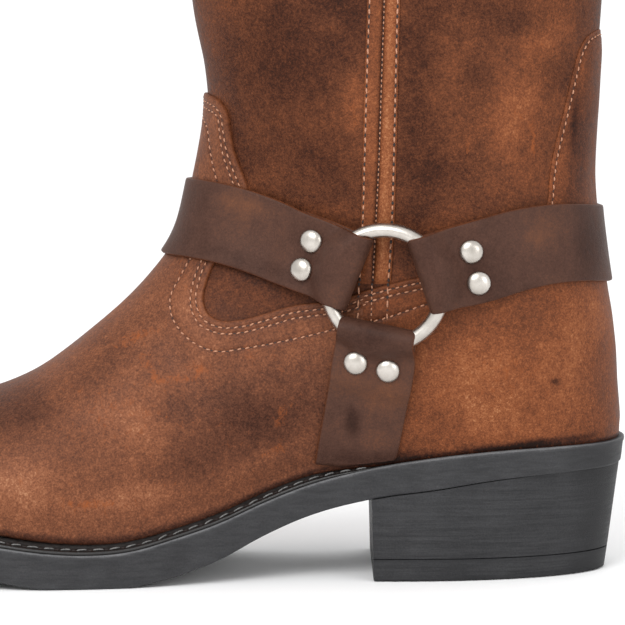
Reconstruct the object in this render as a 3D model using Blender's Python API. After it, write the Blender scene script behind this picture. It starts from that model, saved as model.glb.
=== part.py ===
"""Harness boot for the left foot: a pull-on leather boot with a stacked block heel and a ring harness.

Frame: metres, +Z up, toe towards -X, outer (lateral) side towards -Y, origin on the floor under the
middle of the heel. Every size below is in millimetres and is scaled once, when a mesh is made.
"""
from collections import namedtuple
import math

import bmesh
import bpy
import numpy as np

MM = 0.001
MERGE = 1e-6
GAP = 0.3

# Sole outline, seen from above
TOE_X = -257.0
HEEL_X = 49.2
TOE_ROUND = 60.0
TOE_POWER = 2.4
HEEL_ROUND = 37.0
BREAST_X = -42.4
FEATHER_INSET = 5.5
FEATHER_INSET_HEEL = 3.5
WAIST_X = -30.0
WAIST_RUN = 60.0
SOLE_UNDERCUT = 1.2
WELT_START_X = -34.0
WELT_RISE_RUN = 34.0

# Wall and layers
WALL = 2.2
UPPER_SEAT = 1.2
OVERLAY = 1.2
OVERLAY_GAP = 0.45
WELT_HEIGHT = 3.0
WELT_FLANGE = 7.0
INSOLE_THICK = 3.0
INSOLE_SEAT = 0.1
LIFT_HEIGHT = 8.0

# The upper's field: how it blends from the feather line into the girth sections
FEATHER_SHARE = 0.06
LIFT_SHARE = 0.5
LIFT_POWER = 0.2
BELLY_SHARE = 0.4
TOE_TIP_X = -255.3
TOE_TIP_Z = 38.0
TOE_ROWS = 40

# Harness hardware
RING_X = -37.9
RING_Z = 105.7
RING_RADIUS = 20.05
RING_WIRE = 2.55
RING_CLEAR = 1.2
FOLD_CLEAR = 0.5
STRAP_THICK = 2.0
STRAP_LAP_GAP = 0.2
STRAP_SEAT = 0.95
STRAP_FOOT = 1.5
STRAP_HALF = 13.9
STRAP_HALF_AT_RING = 11.9
RIVET_RADIUS = 3.9
RIVET_HEIGHT = 1.8
RIVET_SEAT = 0.66
STRAP_LEVEL = OVERLAY_GAP + OVERLAY + STRAP_SEAT + STRAP_THICK / 2
FOLD_CENTRE = 14.2
FOLD_RADIUS = RING_WIRE + FOLD_CLEAR + STRAP_THICK / 2
LAP_END = 36.0
ACROSS = np.array([-1.0, 0.0, 1.0])

# Mesh fineness
AROUND = 44
LOOP_V = (*np.linspace(0.0, 0.88, 21), 0.94, 1.0)
OVERLAY_LOOPS = 20
CUTTER_HALF = 80.0
CUTTER_LOW = 5.0
CUTTER_FRONT_X = -290.0
CUTTER_REAR_X = 70.0
SLOPE_STEP = 0.5

LATERAL, MEDIAL = 0, 1

Outline = namedtuple("Outline", "x lateral medial")
OUTLINE = (
    Outline(-257.0, 37.0, 47.0),
    Outline(-216.0, 42.5, 50.5),
    Outline(-191.0, 48.0, 53.5),
    Outline(-166.0, 51.0, 54.0),
    Outline(-146.0, 50.0, 50.0),
    Outline(-121.0, 46.0, 42.0),
    Outline(-91.0, 39.5, 34.0),
    Outline(-61.0, 36.0, 33.0),
    Outline(-26.0, 36.5, 36.0),
    Outline(12.0, 37.0, 37.0),
    Outline(49.2, 37.0, 37.0),
)

# The outsole's top edge and underside, from toe tip to heel; the underside is flat at the ball
SoleLine = namedtuple("SoleLine", "x top bottom")
SOLE_LINES = (
    SoleLine(-257.0, 26.8, 14.5),
    SoleLine(-230.0, 22.9, 10.8),
    SoleLine(-205.0, 19.3, 7.2),
    SoleLine(-173.0, 14.9, 2.4),
    SoleLine(-157.0, 12.8, 0.0),
    SoleLine(-144.0, 12.0, 0.0),
    SoleLine(-128.0, 12.9, 0.0),
    SoleLine(-112.0, 17.0, 3.3),
    SoleLine(-96.0, 22.2, 9.0),
    SoleLine(-82.0, 28.4, 16.4),
    SoleLine(-68.0, 33.9, 22.6),
    SoleLine(-42.4, 40.7, 29.6),
    SoleLine(-19.0, 44.5, 33.0),
    SoleLine(-2.5, 46.4, 35.8),
    SoleLine(14.0, 47.8, 38.0),
    SoleLine(24.0, 48.3, 38.9),
    SoleLine(49.2, 48.4, 39.4),
)

# Loops round the upper, each from a point on its front profile to one on its back profile
Girdle = namedtuple("Girdle", "v front_x front_z back_x back_z")
GIRDLES = (
    Girdle(0.00, -251.5, 30.6, 45.7, 49.0),
    Girdle(0.05, -255.3, 38.0, 46.0, 54.5),
    Girdle(0.10, -253.0, 45.5, 45.7, 59.5),
    Girdle(0.15, -246.0, 53.2, 45.3, 64.0),
    Girdle(0.20, -234.9, 57.6, 44.9, 68.5),
    Girdle(0.26, -214.8, 59.1, 44.6, 73.5),
    Girdle(0.33, -189.6, 61.2, 44.2, 80.0),
    Girdle(0.40, -164.1, 70.4, 43.5, 86.5),
    Girdle(0.47, -140.3, 87.9, 42.6, 93.5),
    Girdle(0.54, -121.8, 105.7, 41.0, 102.5),
    Girdle(0.60, -111.3, 120.9, 39.0, 115.5),
    Girdle(0.66, -106.1, 140.2, 37.1, 131.5),
    Girdle(0.72, -101.9, 163.9, 36.5, 150.0),
    Girdle(0.78, -102.6, 180.0, 37.4, 173.0),
    Girdle(0.85, -107.2, 205.0, 39.6, 205.0),
    Girdle(0.92, -111.0, 255.0, 42.3, 255.0),
    Girdle(1.00, -114.0, 330.0, 44.5, 330.0),
)

# Girth sections, fanned from the toe round to the collar. Each runs from a point on the feather line
# or the back profile to the front profile at girdle value v; low and high are its half widths there
# and at its belly, and it rounds over to the front from the share round_from on.
Girth = namedtuple("Girth", "v foot_x foot_z low_lat low_med high_lat high_med round_from power back_round")
GIRTHS = (
    Girth(0.05, -255.3, 30.5, 39.0, 49.0, 41.0, 51.0, 0.00, 3.0, 36.0),
    Girth(0.15, -246.0, 29.5, 39.5, 49.5, 42.0, 51.5, 0.00, 2.8, 36.0),
    Girth(0.20, -235.0, 27.0, 40.5, 50.0, 43.5, 52.0, 0.00, 2.7, 36.0),
    Girth(0.26, -214.0, 24.0, 43.0, 50.5, 46.0, 52.5, 0.00, 2.5, 36.0),
    Girth(0.33, -188.0, 20.3, 44.5, 50.0, 47.0, 51.5, 0.00, 2.4, 36.0),
    Girth(0.40, -162.0, 17.5, 46.5, 49.0, 48.5, 50.0, 0.00, 2.2, 36.0),
    Girth(0.47, -134.0, 16.0, 43.5, 41.5, 46.0, 44.0, 0.00, 2.0, 36.0),
    Girth(0.54, -104.0, 22.0, 37.5, 32.0, 41.5, 39.0, 0.05, 1.9, 36.0),
    Girth(0.60, -68.0, 37.0, 33.0, 29.5, 39.5, 37.5, 0.12, 1.9, 36.0),
    Girth(0.63, -30.0, 43.0, 33.5, 33.0, 39.5, 38.5, 0.20, 1.9, 36.5),
    Girth(0.66, 15.0, 48.0, 34.0, 34.0, 40.5, 40.0, 0.30, 1.9, 38.0),
    Girth(0.69, 45.7, 52.0, 35.0, 35.0, 41.5, 41.5, 0.40, 2.0, 40.0),
    Girth(0.72, 44.6, 90.0, 40.0, 40.0, 43.0, 43.0, 0.45, 2.0, 47.0),
    Girth(0.75, 39.5, 122.0, 43.5, 43.5, 44.0, 44.0, 0.50, 2.1, 60.0),
    Girth(0.80, 38.2, 160.0, 45.0, 45.0, 45.5, 45.5, 0.50, 2.2, 68.0),
    Girth(0.85, 40.2, 205.0, 46.0, 46.0, 46.0, 46.0, 0.50, 2.2, 71.0),
    Girth(0.92, 42.3, 255.0, 47.0, 47.0, 47.0, 47.0, 0.50, 2.2, 75.0),
    Girth(1.00, 44.5, 330.0, 48.5, 48.5, 48.5, 48.5, 0.50, 2.2, 79.0),
)

# Edge of the foxing in side view: vamp tongue down to the side, then counter up to its peak
EdgePoint = namedtuple("EdgePoint", "x z")
VAMP_EDGE = (
    EdgePoint(-125.0, 171.5),
    EdgePoint(-101.0, 171.0),
    EdgePoint(-96.0, 168.0),
    EdgePoint(-93.4, 160.0),
    EdgePoint(-91.8, 151.5),
    EdgePoint(-86.2, 137.0),
    EdgePoint(-90.0, 125.0),
    EdgePoint(-99.5, 111.0),
    EdgePoint(-102.7, 99.5),
    EdgePoint(-100.6, 93.9),
    EdgePoint(-95.6, 91.8),
    EdgePoint(-81.4, 94.3),
    EdgePoint(-61.6, 98.9),
    EdgePoint(-43.7, 104.1),
)
COUNTER_EDGE = (
    EdgePoint(-43.1, 104.3),
    EdgePoint(-26.6, 108.1),
    EdgePoint(0.0, 115.0),
    EdgePoint(14.0, 123.0),
    EdgePoint(18.2, 133.0),
    EdgePoint(22.3, 157.3),
    EdgePoint(26.4, 175.0),
    EdgePoint(31.0, 188.5),
    EdgePoint(38.8, 194.0),
    EdgePoint(60.0, 194.5),
)

# Centre line of the side seam strip, from the collar down to the foxing
SeamRow = namedtuple("SeamRow", "x z")
SEAM_ROWS = (
    SeamRow(-35.6, 327.0),
    SeamRow(-37.6, 255.0),
    SeamRow(-39.4, 204.0),
    SeamRow(-41.2, 148.0),
    SeamRow(-43.0, 107.6),
)
SEAM_HALF = 6.8
SEAM_THICK = 1.0

# The straps leave the ring in these side-view directions. Shift moves a strap across, rivets sit
# rivet_s from the ring's centre, and far is where the strap ends or crosses the boot's middle.
StrapPlan = namedtuple("StrapPlan", "name angle shift rivet_s rivet_shift far_top_z far_low_z bow")
STRAPS = (
    StrapPlan("front", 160.9, 1.2, 29.4, 1.0, 140.5, 113.0, 2.0),
    StrapPlan("rear", 13.9, 1.0, 31.0, -0.3, 131.2, 104.1, 2.6),
    StrapPlan("down", 259.6, 0.3, 29.3, -0.2, 0.0, 0.0, 0.0),
)
RIVET_HALF_SPAN = 5.6

# Plan of the heel block, a D with its flat breast in front, at the floor and at the height of its seat;
# its sides turn in to the rear over the length round
HeelPlan = namedtuple("HeelPlan", "z rear breast half round")
HEEL_PLANS = (
    HeelPlan(0.0, 42.4, BREAST_X, 33.6, 76.0),
    HeelPlan(40.0, 48.0, BREAST_X - 0.8, 36.0, 46.0),
)
HEEL_TOP_Z = 36.0
HEEL_SEAT_Z = 39.0

# Cross-section of the welt: distance in from the sole's edge, and share of its height there
WeltCorner = namedtuple("WeltCorner", "inset share")
WELT_CORNERS = (
    WeltCorner(0.6, 0.0),
    WeltCorner(0.6, 0.6),
    WeltCorner(4.2, 0.75),
    WeltCorner(5.0, 1.0),
    WeltCorner(FEATHER_INSET + WELT_FLANGE, 1.0),
    WeltCorner(FEATHER_INSET + WELT_FLANGE, 0.0),
)
WELT_END = -44.0
WELT_LEAST = 0.4

# Rings of a rivet's dome: share of its radius and of its height
DomeRing = namedtuple("DomeRing", "radius height")
DOME_RINGS = (DomeRing(1.0, 0.0), DomeRing(1.0, 0.25), DomeRing(0.72, 0.75), DomeRing(0.3, 1.0))
DOME_SIDES = 8

# A point inside the ankle, which the straps face away from
ANKLE_CORE = (-30.0, 0.0, 115.0)

Finish = namedtuple("Finish", "colour roughness metallic")
FINISHES = {
    "leather": Finish((0.150, 0.052, 0.022), 0.55, 0.0),
    "strap_leather": Finish((0.085, 0.034, 0.019), 0.50, 0.0),
    "rubber": Finish((0.030, 0.030, 0.032), 0.70, 0.0),
    "welt": Finish((0.016, 0.015, 0.015), 0.60, 0.0),
    "insole_leather": Finish((0.420, 0.270, 0.150), 0.75, 0.0),
    "nickel": Finish((0.600, 0.590, 0.560), 0.30, 1.0),
}


class Through:
    """A smooth curve through the rows of a table, read at any value of its first column."""

    def __init__(self, rows):
        table = np.array(rows, dtype=float)
        self.at = table[:, 0]
        self.values = table[:, 1:]
        self.slopes = np.gradient(self.values, self.at, axis=0)

    def __call__(self, where):
        where = np.clip(np.asarray(where, dtype=float), self.at[0], self.at[-1])
        i = np.clip(np.searchsorted(self.at, where, side="right") - 1, 0, len(self.at) - 2)
        step = (self.at[i + 1] - self.at[i])[..., None]
        t = (where - self.at[i])[..., None] / step
        start = (1 + 2 * t) * (1 - t) ** 2 * self.values[i] + t * (1 - t) ** 2 * step * self.slopes[i]
        end = t * t * (3 - 2 * t) * self.values[i + 1] + t * t * (t - 1) * step * self.slopes[i + 1]
        return start + end


def straight_through(rows):
    """The same for a table whose rows are joined by straight lines."""
    table = np.array(rows, dtype=float)

    def read(where):
        return np.stack([np.interp(where, table[:, 0], column) for column in table.T[1:]], axis=-1)

    return read


def ease(t):
    t = np.clip(t, 0.0, 1.0)
    return t * t * (3 - 2 * t)


outline_at = Through(OUTLINE)
sole_lines_at = straight_through(SOLE_LINES)
heel_plan_at = straight_through(HEEL_PLANS)
girdle_at = Through(GIRDLES)
girth_at = Through([(i, *row) for i, row in enumerate(GIRTHS)])
profile_v = np.linspace(0.0, 1.0, 400)
profile = girdle_at(profile_v)


def inset_at(x):
    """How far the upper's lower edge lies in from the sole's outline."""
    forward = ease((WAIST_X - x) / WAIST_RUN)
    return FEATHER_INSET_HEEL + (FEATHER_INSET - FEATHER_INSET_HEEL) * forward


def outline_half(x, side, inset):
    """Half width of the sole's outline, moved in by inset, at distance x along the boot."""
    x = np.asarray(x, dtype=float)
    toe = np.clip((x - TOE_X - inset) / (TOE_ROUND - inset), 0.0, 1.0)
    heel = np.clip((HEEL_X - inset - x) / (HEEL_ROUND - inset), 0.0, 1.0)
    toe_cap = (1 - (1 - toe) ** TOE_POWER) ** (1 / TOE_POWER)
    heel_cap = np.sqrt(1 - (1 - heel) ** 2)
    return (outline_at(x)[..., side] - inset) * toe_cap * heel_cap


def welt_rise(x):
    return WELT_HEIGHT * ease((WELT_START_X - x) / WELT_RISE_RUN)


def feather_z(x):
    """Height of the upper's lower edge: on the welt in front, on the outsole's lip at the heel."""
    return sole_lines_at(x)[..., 0] + UPPER_SEAT + welt_rise(x)


def back_x(z):
    return np.interp(z, profile[:, 3], profile[:, 2])


def girth_of(x, z):
    """Row position of the girth section that runs through a side-view point."""
    low = np.zeros_like(x)
    high = np.full_like(x, len(GIRTHS) - 1.0)
    for _ in range(26):
        middle = (low + high) / 2
        row = girth_at(middle)
        front = girdle_at(row[..., 0])
        run_x = front[..., 0] - row[..., 1]
        run_z = front[..., 1] - row[..., 2]
        turn = run_x * (z - row[..., 2]) - run_z * (x - row[..., 1])
        low = np.where(turn < 0, middle, low)
        high = np.where(turn < 0, high, middle)
    return (low + high) / 2


def half_width(x, z, side):
    """Half width of the upper's outer surface at a side-view point."""
    x, z = np.broadcast_arrays(np.asarray(x, dtype=float), np.asarray(z, dtype=float))
    row = girth_at(girth_of(x, z))
    front = girdle_at(row[..., 0])
    run_x = front[..., 0] - row[..., 1]
    run_z = front[..., 1] - row[..., 2]
    share = ((x - row[..., 1]) * run_x + (z - row[..., 2]) * run_z) / (run_x ** 2 + run_z ** 2)
    share = np.clip(share, 0.0, 1.0)
    belly = ease(share / BELLY_SHARE)
    width = row[..., 3 + side] * (1 - belly) + row[..., 5 + side] * belly
    over = np.clip((share - row[..., 7]) / (1 - row[..., 7]), 0.0, 1.0)
    front_cap = np.sqrt(1 - over ** row[..., 8])
    toe_front = np.interp(z, profile[:TOE_ROWS, 1], profile[:TOE_ROWS, 0])
    tip_x = np.where(z < TOE_TIP_Z, toe_front, TOE_TIP_X)
    toe = np.clip((x - tip_x) / (TOE_ROUND - FEATHER_INSET), 0.0, 1.0)
    toe_cap = (1 - (1 - toe) ** TOE_POWER) ** (1 / TOE_POWER)
    back = np.clip((back_x(z) - x) / row[..., 9], 0.0, 1.0)
    return width * front_cap * toe_cap * np.sqrt(1 - (1 - back) ** 2)


def upper_point(v, turn):
    """A point of the upper's outer surface; turn runs 0..1 from the back, by the outer side."""
    v, turn = np.broadcast_arrays(np.asarray(v, dtype=float), np.asarray(turn, dtype=float))
    ends = girdle_at(v)
    share = (1 - np.cos(2 * math.pi * turn)) / 2
    x = ends[..., 2] + (ends[..., 0] - ends[..., 2]) * share
    z = ends[..., 3] + (ends[..., 1] - ends[..., 3]) * share
    first = girdle_at(0.0)
    first_x = first[2] + (first[0] - first[2]) * share
    first_z = first[3] + (first[1] - first[3]) * share
    lift = np.clip(1 - v / LIFT_SHARE, 0.0, 1.0) ** 2 * np.sin(math.pi * share) ** LIFT_POWER
    z = z + (feather_z(first_x) - first_z) * lift
    from_feather = ease(v / FEATHER_SHARE)
    y = np.zeros_like(x)
    for side, sign in ((LATERAL, -1.0), (MEDIAL, 1.0)):
        field = half_width(x, z, side)
        feather = outline_half(x, side, inset_at(x))
        here = field * from_feather + feather * (1 - from_feather)
        mine = (turn <= 0.5) if side == LATERAL else (turn > 0.5)
        y = np.where(mine, sign * here, y)
    y = np.where(np.isin(np.round(turn, 6), (0.0, 0.5, 1.0)), 0.0, y)
    return np.stack([x, y, z], axis=-1)


def upper_grid(v_values):
    """Points and outward normals of the upper's outer surface, loops by columns."""
    v = np.asarray(v_values)[:, None]
    turn = (np.arange(AROUND) / AROUND)[None, :]
    points = upper_point(v, turn)
    along = np.gradient(points, axis=0)
    round_it = np.roll(points, -1, axis=1) - np.roll(points, 1, axis=1)
    normals = np.cross(along, round_it)
    normals /= np.linalg.norm(normals, axis=-1, keepdims=True)
    outward = np.sum(normals * (points - points.mean(axis=1, keepdims=True)))
    return points, normals * np.sign(outward)


def flank(x, z, side, height):
    """A point that stands height off the upper's side, with the surface's normal there."""
    sign = -1.0 if side == LATERAL else 1.0
    step = SLOPE_STEP
    y = half_width(x, z, side)
    slope_x = (half_width(x + step, z, side) - half_width(x - step, z, side)) / (2 * step)
    slope_z = (half_width(x, z + step, side) - half_width(x, z - step, side)) / (2 * step)
    normal = np.stack([-slope_x, sign * np.ones_like(y), -slope_z], axis=-1)
    normal /= np.linalg.norm(normal, axis=-1, keepdims=True)
    point = np.stack([x + 0 * y, sign * y, z + 0 * y], axis=-1)
    return point + normal * np.asarray(height)[..., None], normal


def material(name):
    made = bpy.data.materials.get(name)
    if made is None:
        finish = FINISHES[name]
        made = bpy.data.materials.new(name)
        made.use_nodes = True
        shader = made.node_tree.nodes["Principled BSDF"]
        shader.inputs["Base Color"].default_value = (*finish.colour, 1.0)
        shader.inputs["Roughness"].default_value = finish.roughness
        shader.inputs["Metallic"].default_value = finish.metallic
    return made


def place(name, mesh, finish):
    mesh.shade_smooth()
    mesh.set_sharp_from_angle(angle=math.radians(35))
    thing = bpy.data.objects.new(name, mesh)
    bpy.context.scene.collection.objects.link(thing)
    mesh.materials.append(material(finish))
    return thing


def sweep(name, sections, finish, closed=False, layered=False):
    """One solid from a run of closed cross-sections, each a ring of points.

    In a layered solid the second half of each ring lies under the first, in reverse, and both
    halves are cut into triangles along the same diagonals, so neighbouring layers stay parallel.
    """
    sections = np.asarray(sections) * MM
    rows, count = sections.shape[:2]
    form = bmesh.new()
    rings = [[form.verts.new(point) for point in ring] for ring in sections]
    for i in range(rows if closed else rows - 1):
        here, beyond = rings[i], rings[(i + 1) % rows]
        for j in range(count):
            k = (j + 1) % count
            if not layered:
                form.faces.new((here[j], here[k], beyond[k], beyond[j]))
            elif j < count // 2:
                form.faces.new((here[j], here[k], beyond[k]))
                form.faces.new((here[j], beyond[k], beyond[j]))
            else:
                form.faces.new((here[j], here[k], beyond[j]))
                form.faces.new((here[k], beyond[k], beyond[j]))
    if not closed:
        form.faces.new(rings[0])
        form.faces.new(rings[-1][::-1])
    bmesh.ops.remove_doubles(form, verts=form.verts, dist=MERGE)
    bmesh.ops.recalc_face_normals(form, faces=form.faces)
    mesh = bpy.data.meshes.new(name)
    form.to_mesh(mesh)
    form.free()
    return place(name, mesh, finish)


def bent_stations(start, end, count):
    """Stations along X, close together at both ends where the outline turns."""
    share = (1 - np.cos(np.linspace(0.0, math.pi, count))) / 2
    return start + (end - start) * share


def slab(name, top, bottom, finish):
    """A plate between two outlines, each given as rows of (x, lateral y, medial y, z)."""
    sections = []
    for (tx, tl, tm, tz), (bx, bl, bm, bz) in zip(top, bottom):
        sections.append([(tx, tl, tz), (tx, tm, tz), (bx, bm, bz), (bx, bl, bz)])
    return sweep(name, sections, finish)


def outline_rows(x, inset, z):
    lateral = -outline_half(x, LATERAL, inset)
    medial = outline_half(x, MEDIAL, inset)
    return np.stack([x, lateral, medial, z + 0 * x], axis=-1)


def outsole():
    kinks = [row.x for row in SOLE_LINES if TOE_X < row.x < HEEL_X]
    toe = bent_stations(TOE_X, -171.0, 14)[:7]
    heel = bent_stations(12.0, HEEL_X, 13)[5:]
    x = np.unique(np.round(np.concatenate([toe, kinks, heel, [TOE_X, HEEL_X]]), 3))
    lines = sole_lines_at(x)
    top = outline_rows(x, 0.0, lines[:, 0])
    bottom = outline_rows(x, SOLE_UNDERCUT, lines[:, 1])
    slab("outsole", top, bottom, "rubber")


def heel_section(z, count=17):
    """Outline of the heel block at height z."""
    rear, breast, half, turn_in = heel_plan_at(z)
    x = breast + (rear - breast) * np.sin(np.linspace(0.0, math.pi / 2, count))
    over = np.clip((x - (rear - turn_in)) / turn_in, 0.0, 1.0)
    y = half * np.sqrt(1 - over ** 2)
    return x, y


def heel_and_lift():
    x_low, y_low = heel_section(0.0)
    x_mid, y_mid = heel_section(LIFT_HEIGHT)
    x_top, y_top = heel_section(HEEL_TOP_Z)
    seat = sole_lines_at(np.clip(x_top, BREAST_X, HEEL_X))[:, 1]
    under = np.minimum(seat - GAP, HEEL_SEAT_Z)
    lift_top = np.stack([x_mid, -y_mid, y_mid, 0 * x_mid + LIFT_HEIGHT], axis=-1)
    lift_low = np.stack([x_low, -y_low, y_low, 0 * x_low], axis=-1)
    block_top = np.stack([x_top, -y_top, y_top, under], axis=-1)
    block_low = lift_top + np.array([0.0, 0.0, 0.0, GAP])
    slab("heel_top_lift", lift_top, lift_low, "rubber")
    slab("heel_block", block_top, block_low, "rubber")


def welt():
    """A strip from waist to waist round the toe, with a raised inner ridge that carries the upper."""
    end = WELT_END
    x = bent_stations(TOE_X, end, 26)
    run = []
    for side, sign, order in ((LATERAL, -1.0, slice(None, None, -1)), (MEDIAL, 1.0, slice(1, None))):
        for station in x[order]:
            rise = max(WELT_LEAST, float(welt_rise(station)))
            ring = []
            for corner in WELT_CORNERS:
                along = end + (station - end) * (end - TOE_X - corner.inset) / (end - TOE_X)
                base = sole_lines_at(along)[0] + GAP
                half = float(outline_half(along, side, corner.inset))
                ring.append((along, sign * half, base + corner.share * rise))
            run.append(ring)
    sweep("welt", run, "welt")


def insole():
    margin = WALL + 0.6
    start = TOE_X + FEATHER_INSET + margin
    end = HEEL_X - FEATHER_INSET_HEEL - margin
    x = bent_stations(start, end, 22)
    inset = inset_at(x) + margin
    low = feather_z(x) + INSOLE_SEAT
    plan = np.stack([x, -outline_half(x, LATERAL, inset), outline_half(x, MEDIAL, inset), low], axis=-1)
    plan[[0, -1], 1:3] = 0.0
    slab("insole", plan + np.array([0.0, 0.0, 0.0, INSOLE_THICK]), plan, "insole_leather")


def shell(name, v_values, inner, outer, finish):
    """A closed band of the upper's surface between two heights off it."""
    points, normals = upper_grid(v_values)
    out = points + normals * outer
    within = points + normals * inner
    out[0, :, 2] = within[0, :, 2] = points[0, :, 2]
    sections = np.concatenate([out, within[::-1]], axis=0).transpose(1, 0, 2)
    return sweep(name, sections, finish, closed=True, layered=True)


def prism(name, corners):
    """A cutter: a side-view outline drawn right through the boot."""
    sections = [[(x, y, z) for x, z in corners] for y in (-CUTTER_HALF, CUTTER_HALF)]
    cutter = sweep(name, sections, "leather")
    cutter.hide_render = True
    cutter.display_type = "WIRE"
    return cutter


def overlay(name, corners):
    """Foxing piece: a band between two larger forms of the upper, cut to its side-view outline."""
    piece = shell(name, LOOP_V[:OVERLAY_LOOPS], OVERLAY_GAP, OVERLAY_GAP + OVERLAY, "leather")
    cut = piece.modifiers.new("outline", "BOOLEAN")
    cut.operation = "INTERSECT"
    cut.object = prism(name + "_outline", corners)
    return piece


def foxing():
    front, rear = CUTTER_FRONT_X, CUTTER_REAR_X
    vamp = [(front, CUTTER_LOW), (front, VAMP_EDGE[0].z), *VAMP_EDGE, (-47.5, 60.0), (-49.5, CUTTER_LOW)]
    counter = [(-49.0, CUTTER_LOW), (-47.0, 60.0), *COUNTER_EDGE, (rear, CUTTER_LOW)]
    overlay("vamp", vamp)
    overlay("counter", counter)


def side_seams():
    rows = straight_through([(-row.z, row.x) for row in SEAM_ROWS])
    heights = np.linspace(SEAM_ROWS[0].z, SEAM_ROWS[-1].z, 12)
    for side, word in ((LATERAL, "lateral"), (MEDIAL, "medial")):
        sections = []
        for z in heights:
            centre = float(rows(-z)[0])
            across = centre + np.array([-SEAM_HALF, 0.0, SEAM_HALF])
            out, _ = flank(across, np.full(3, z), side, np.full(3, GAP + SEAM_THICK))
            within, _ = flank(across, np.full(3, z), side, np.full(3, GAP))
            sections.append(np.concatenate([out, within[::-1]]))
        sweep("side_seam_" + word, sections, "leather")


def ring_frame(side):
    """Centre, across-the-boot X and Z directions and outward normal of a ring's plane."""
    centre_x, centre_z = np.array(RING_X), np.array(RING_Z)
    height = OVERLAY_GAP + OVERLAY + STRAP_SEAT + STRAP_THICK + RING_CLEAR + RING_WIRE
    centre, normal = flank(centre_x, centre_z, side, np.array(height))
    fore = np.array([1.0, 0.0, 0.0]) - normal * normal[0]
    fore /= np.linalg.norm(fore)
    up = np.array([0.0, 0.0, 1.0]) - normal * normal[2]
    up -= fore * np.dot(up, fore)
    up /= np.linalg.norm(up)
    return centre, fore, up, normal


def rings():
    for side, word in ((LATERAL, "lateral"), (MEDIAL, "medial")):
        centre, fore, up, normal = ring_frame(side)
        sections = []
        for turn in np.linspace(0.0, 2 * math.pi, 22, endpoint=False):
            out = fore * math.cos(turn) + up * math.sin(turn)
            wire = []
            for bend in np.linspace(0.0, 2 * math.pi, 6, endpoint=False):
                wire.append(centre + out * (RING_RADIUS + RING_WIRE * math.cos(bend))
                            + normal * RING_WIRE * math.sin(bend))
            sections.append(wire)
        sweep("ring_" + word, sections, "nickel", closed=True)


def strap_direction(plan):
    angle = math.radians(plan.angle)
    return np.array([math.cos(angle), math.sin(angle)])


def strap_across(plan):
    along = strap_direction(plan)
    across = np.array([-along[1], along[0]])
    return across if across[1] > 0 or plan.name == "down" else -across


def strap_mid(plan, side, s, level, upper_layer):
    """Middle of the leather at distance s from the ring's centre, one point for each share across."""
    along, across = strap_direction(plan), strap_across(plan)
    half = STRAP_HALF_AT_RING + (STRAP_HALF - STRAP_HALF_AT_RING) * float(ease((s - 16.0) / 18.0))
    w = plan.shift + ACROSS * half
    x = RING_X + along[0] * s + across[0] * w
    z = RING_Z + along[1] * s + across[1] * w
    centre, fore, up, normal = ring_frame(side)
    flat = centre + fore * (x - RING_X)[:, None] + up * (z - RING_Z)[:, None] + normal * level
    lap = STRAP_THICK + STRAP_LAP_GAP if upper_layer else 0.0
    lying, _ = flank(x, z, side, np.full(3, STRAP_LEVEL + lap))
    start, end = (23.0, 28.0) if upper_layer else (15.5, 26.0)
    share = float(ease((s - start) / (end - start)))
    return flat * (1 - share) + lying * share


def hook_run(plan, side):
    """Leather from its hidden lower end, round the ring's wire and back over to the rivets."""
    run = [strap_mid(plan, side, s, -FOLD_RADIUS, False) for s in (35.0, 29.0, 23.0, 17.5)]
    for bend in np.linspace(-90.0, 90.0, 7):
        turn = math.radians(bend)
        s = FOLD_CENTRE - FOLD_RADIUS * math.cos(turn)
        run.append(strap_mid(plan, side, s, FOLD_RADIUS * math.sin(turn), False))
    run += [strap_mid(plan, side, s, FOLD_RADIUS, True) for s in (18.5, 23.0, 25.5, 28.0, LAP_END)]
    return run


def far_run(plan, side, count=7):
    """From the end of the lap to the middle line of the boot, in front or behind."""
    along, across = strap_direction(plan), strap_across(plan)
    w = plan.shift + ACROSS * STRAP_HALF
    start_x = RING_X + along[0] * (LAP_END + 4.0) + across[0] * w
    start_z = RING_Z + along[1] * (LAP_END + 4.0) + across[1] * w
    far_z = plan.far_low_z + (plan.far_top_z - plan.far_low_z) * (ACROSS + 1) / 2
    table = profile[:, (1, 0)] if plan.name == "front" else profile[:, (3, 2)]
    far_x = np.interp(far_z, table[:, 0], table[:, 1])
    sign = -1.0 if side == LATERAL else 1.0
    run = []
    for u in np.linspace(0.0, 1.0, count):
        share = math.sin(u * math.pi / 2)
        x = start_x + (far_x - start_x) * share
        z = start_z + (far_z - start_z) * share + plan.bow * 4 * share * (1 - share)
        y = half_width(x, z, side) * (1.0 if u < 1 else 0.0)
        run.append(np.stack([x, sign * y, z], axis=-1))
    return run


def raise_run(run, height):
    """Moves surface points of a strap outwards; the run goes round the boot's middle line."""
    points = np.array(run)
    along = np.gradient(points, axis=0)
    across = np.gradient(points, axis=1)
    normals = np.cross(along, across)
    normals /= np.linalg.norm(normals, axis=-1, keepdims=True)
    sign = np.sign(np.sum(normals * (points - np.array(ANKLE_CORE))))
    return list(points + normals * sign * height)


def leather_band(name, run):
    """Gives a run of mid lines its thickness."""
    points = np.array(run)
    along = np.gradient(points, axis=0)
    across = np.gradient(points, axis=1)
    normals = np.cross(along, across)
    normals /= np.linalg.norm(normals, axis=-1, keepdims=True)
    out = points + normals * STRAP_THICK / 2
    within = points - normals * STRAP_THICK / 2
    sweep(name, np.concatenate([out, within[:, ::-1]], axis=1), "strap_leather")


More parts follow.
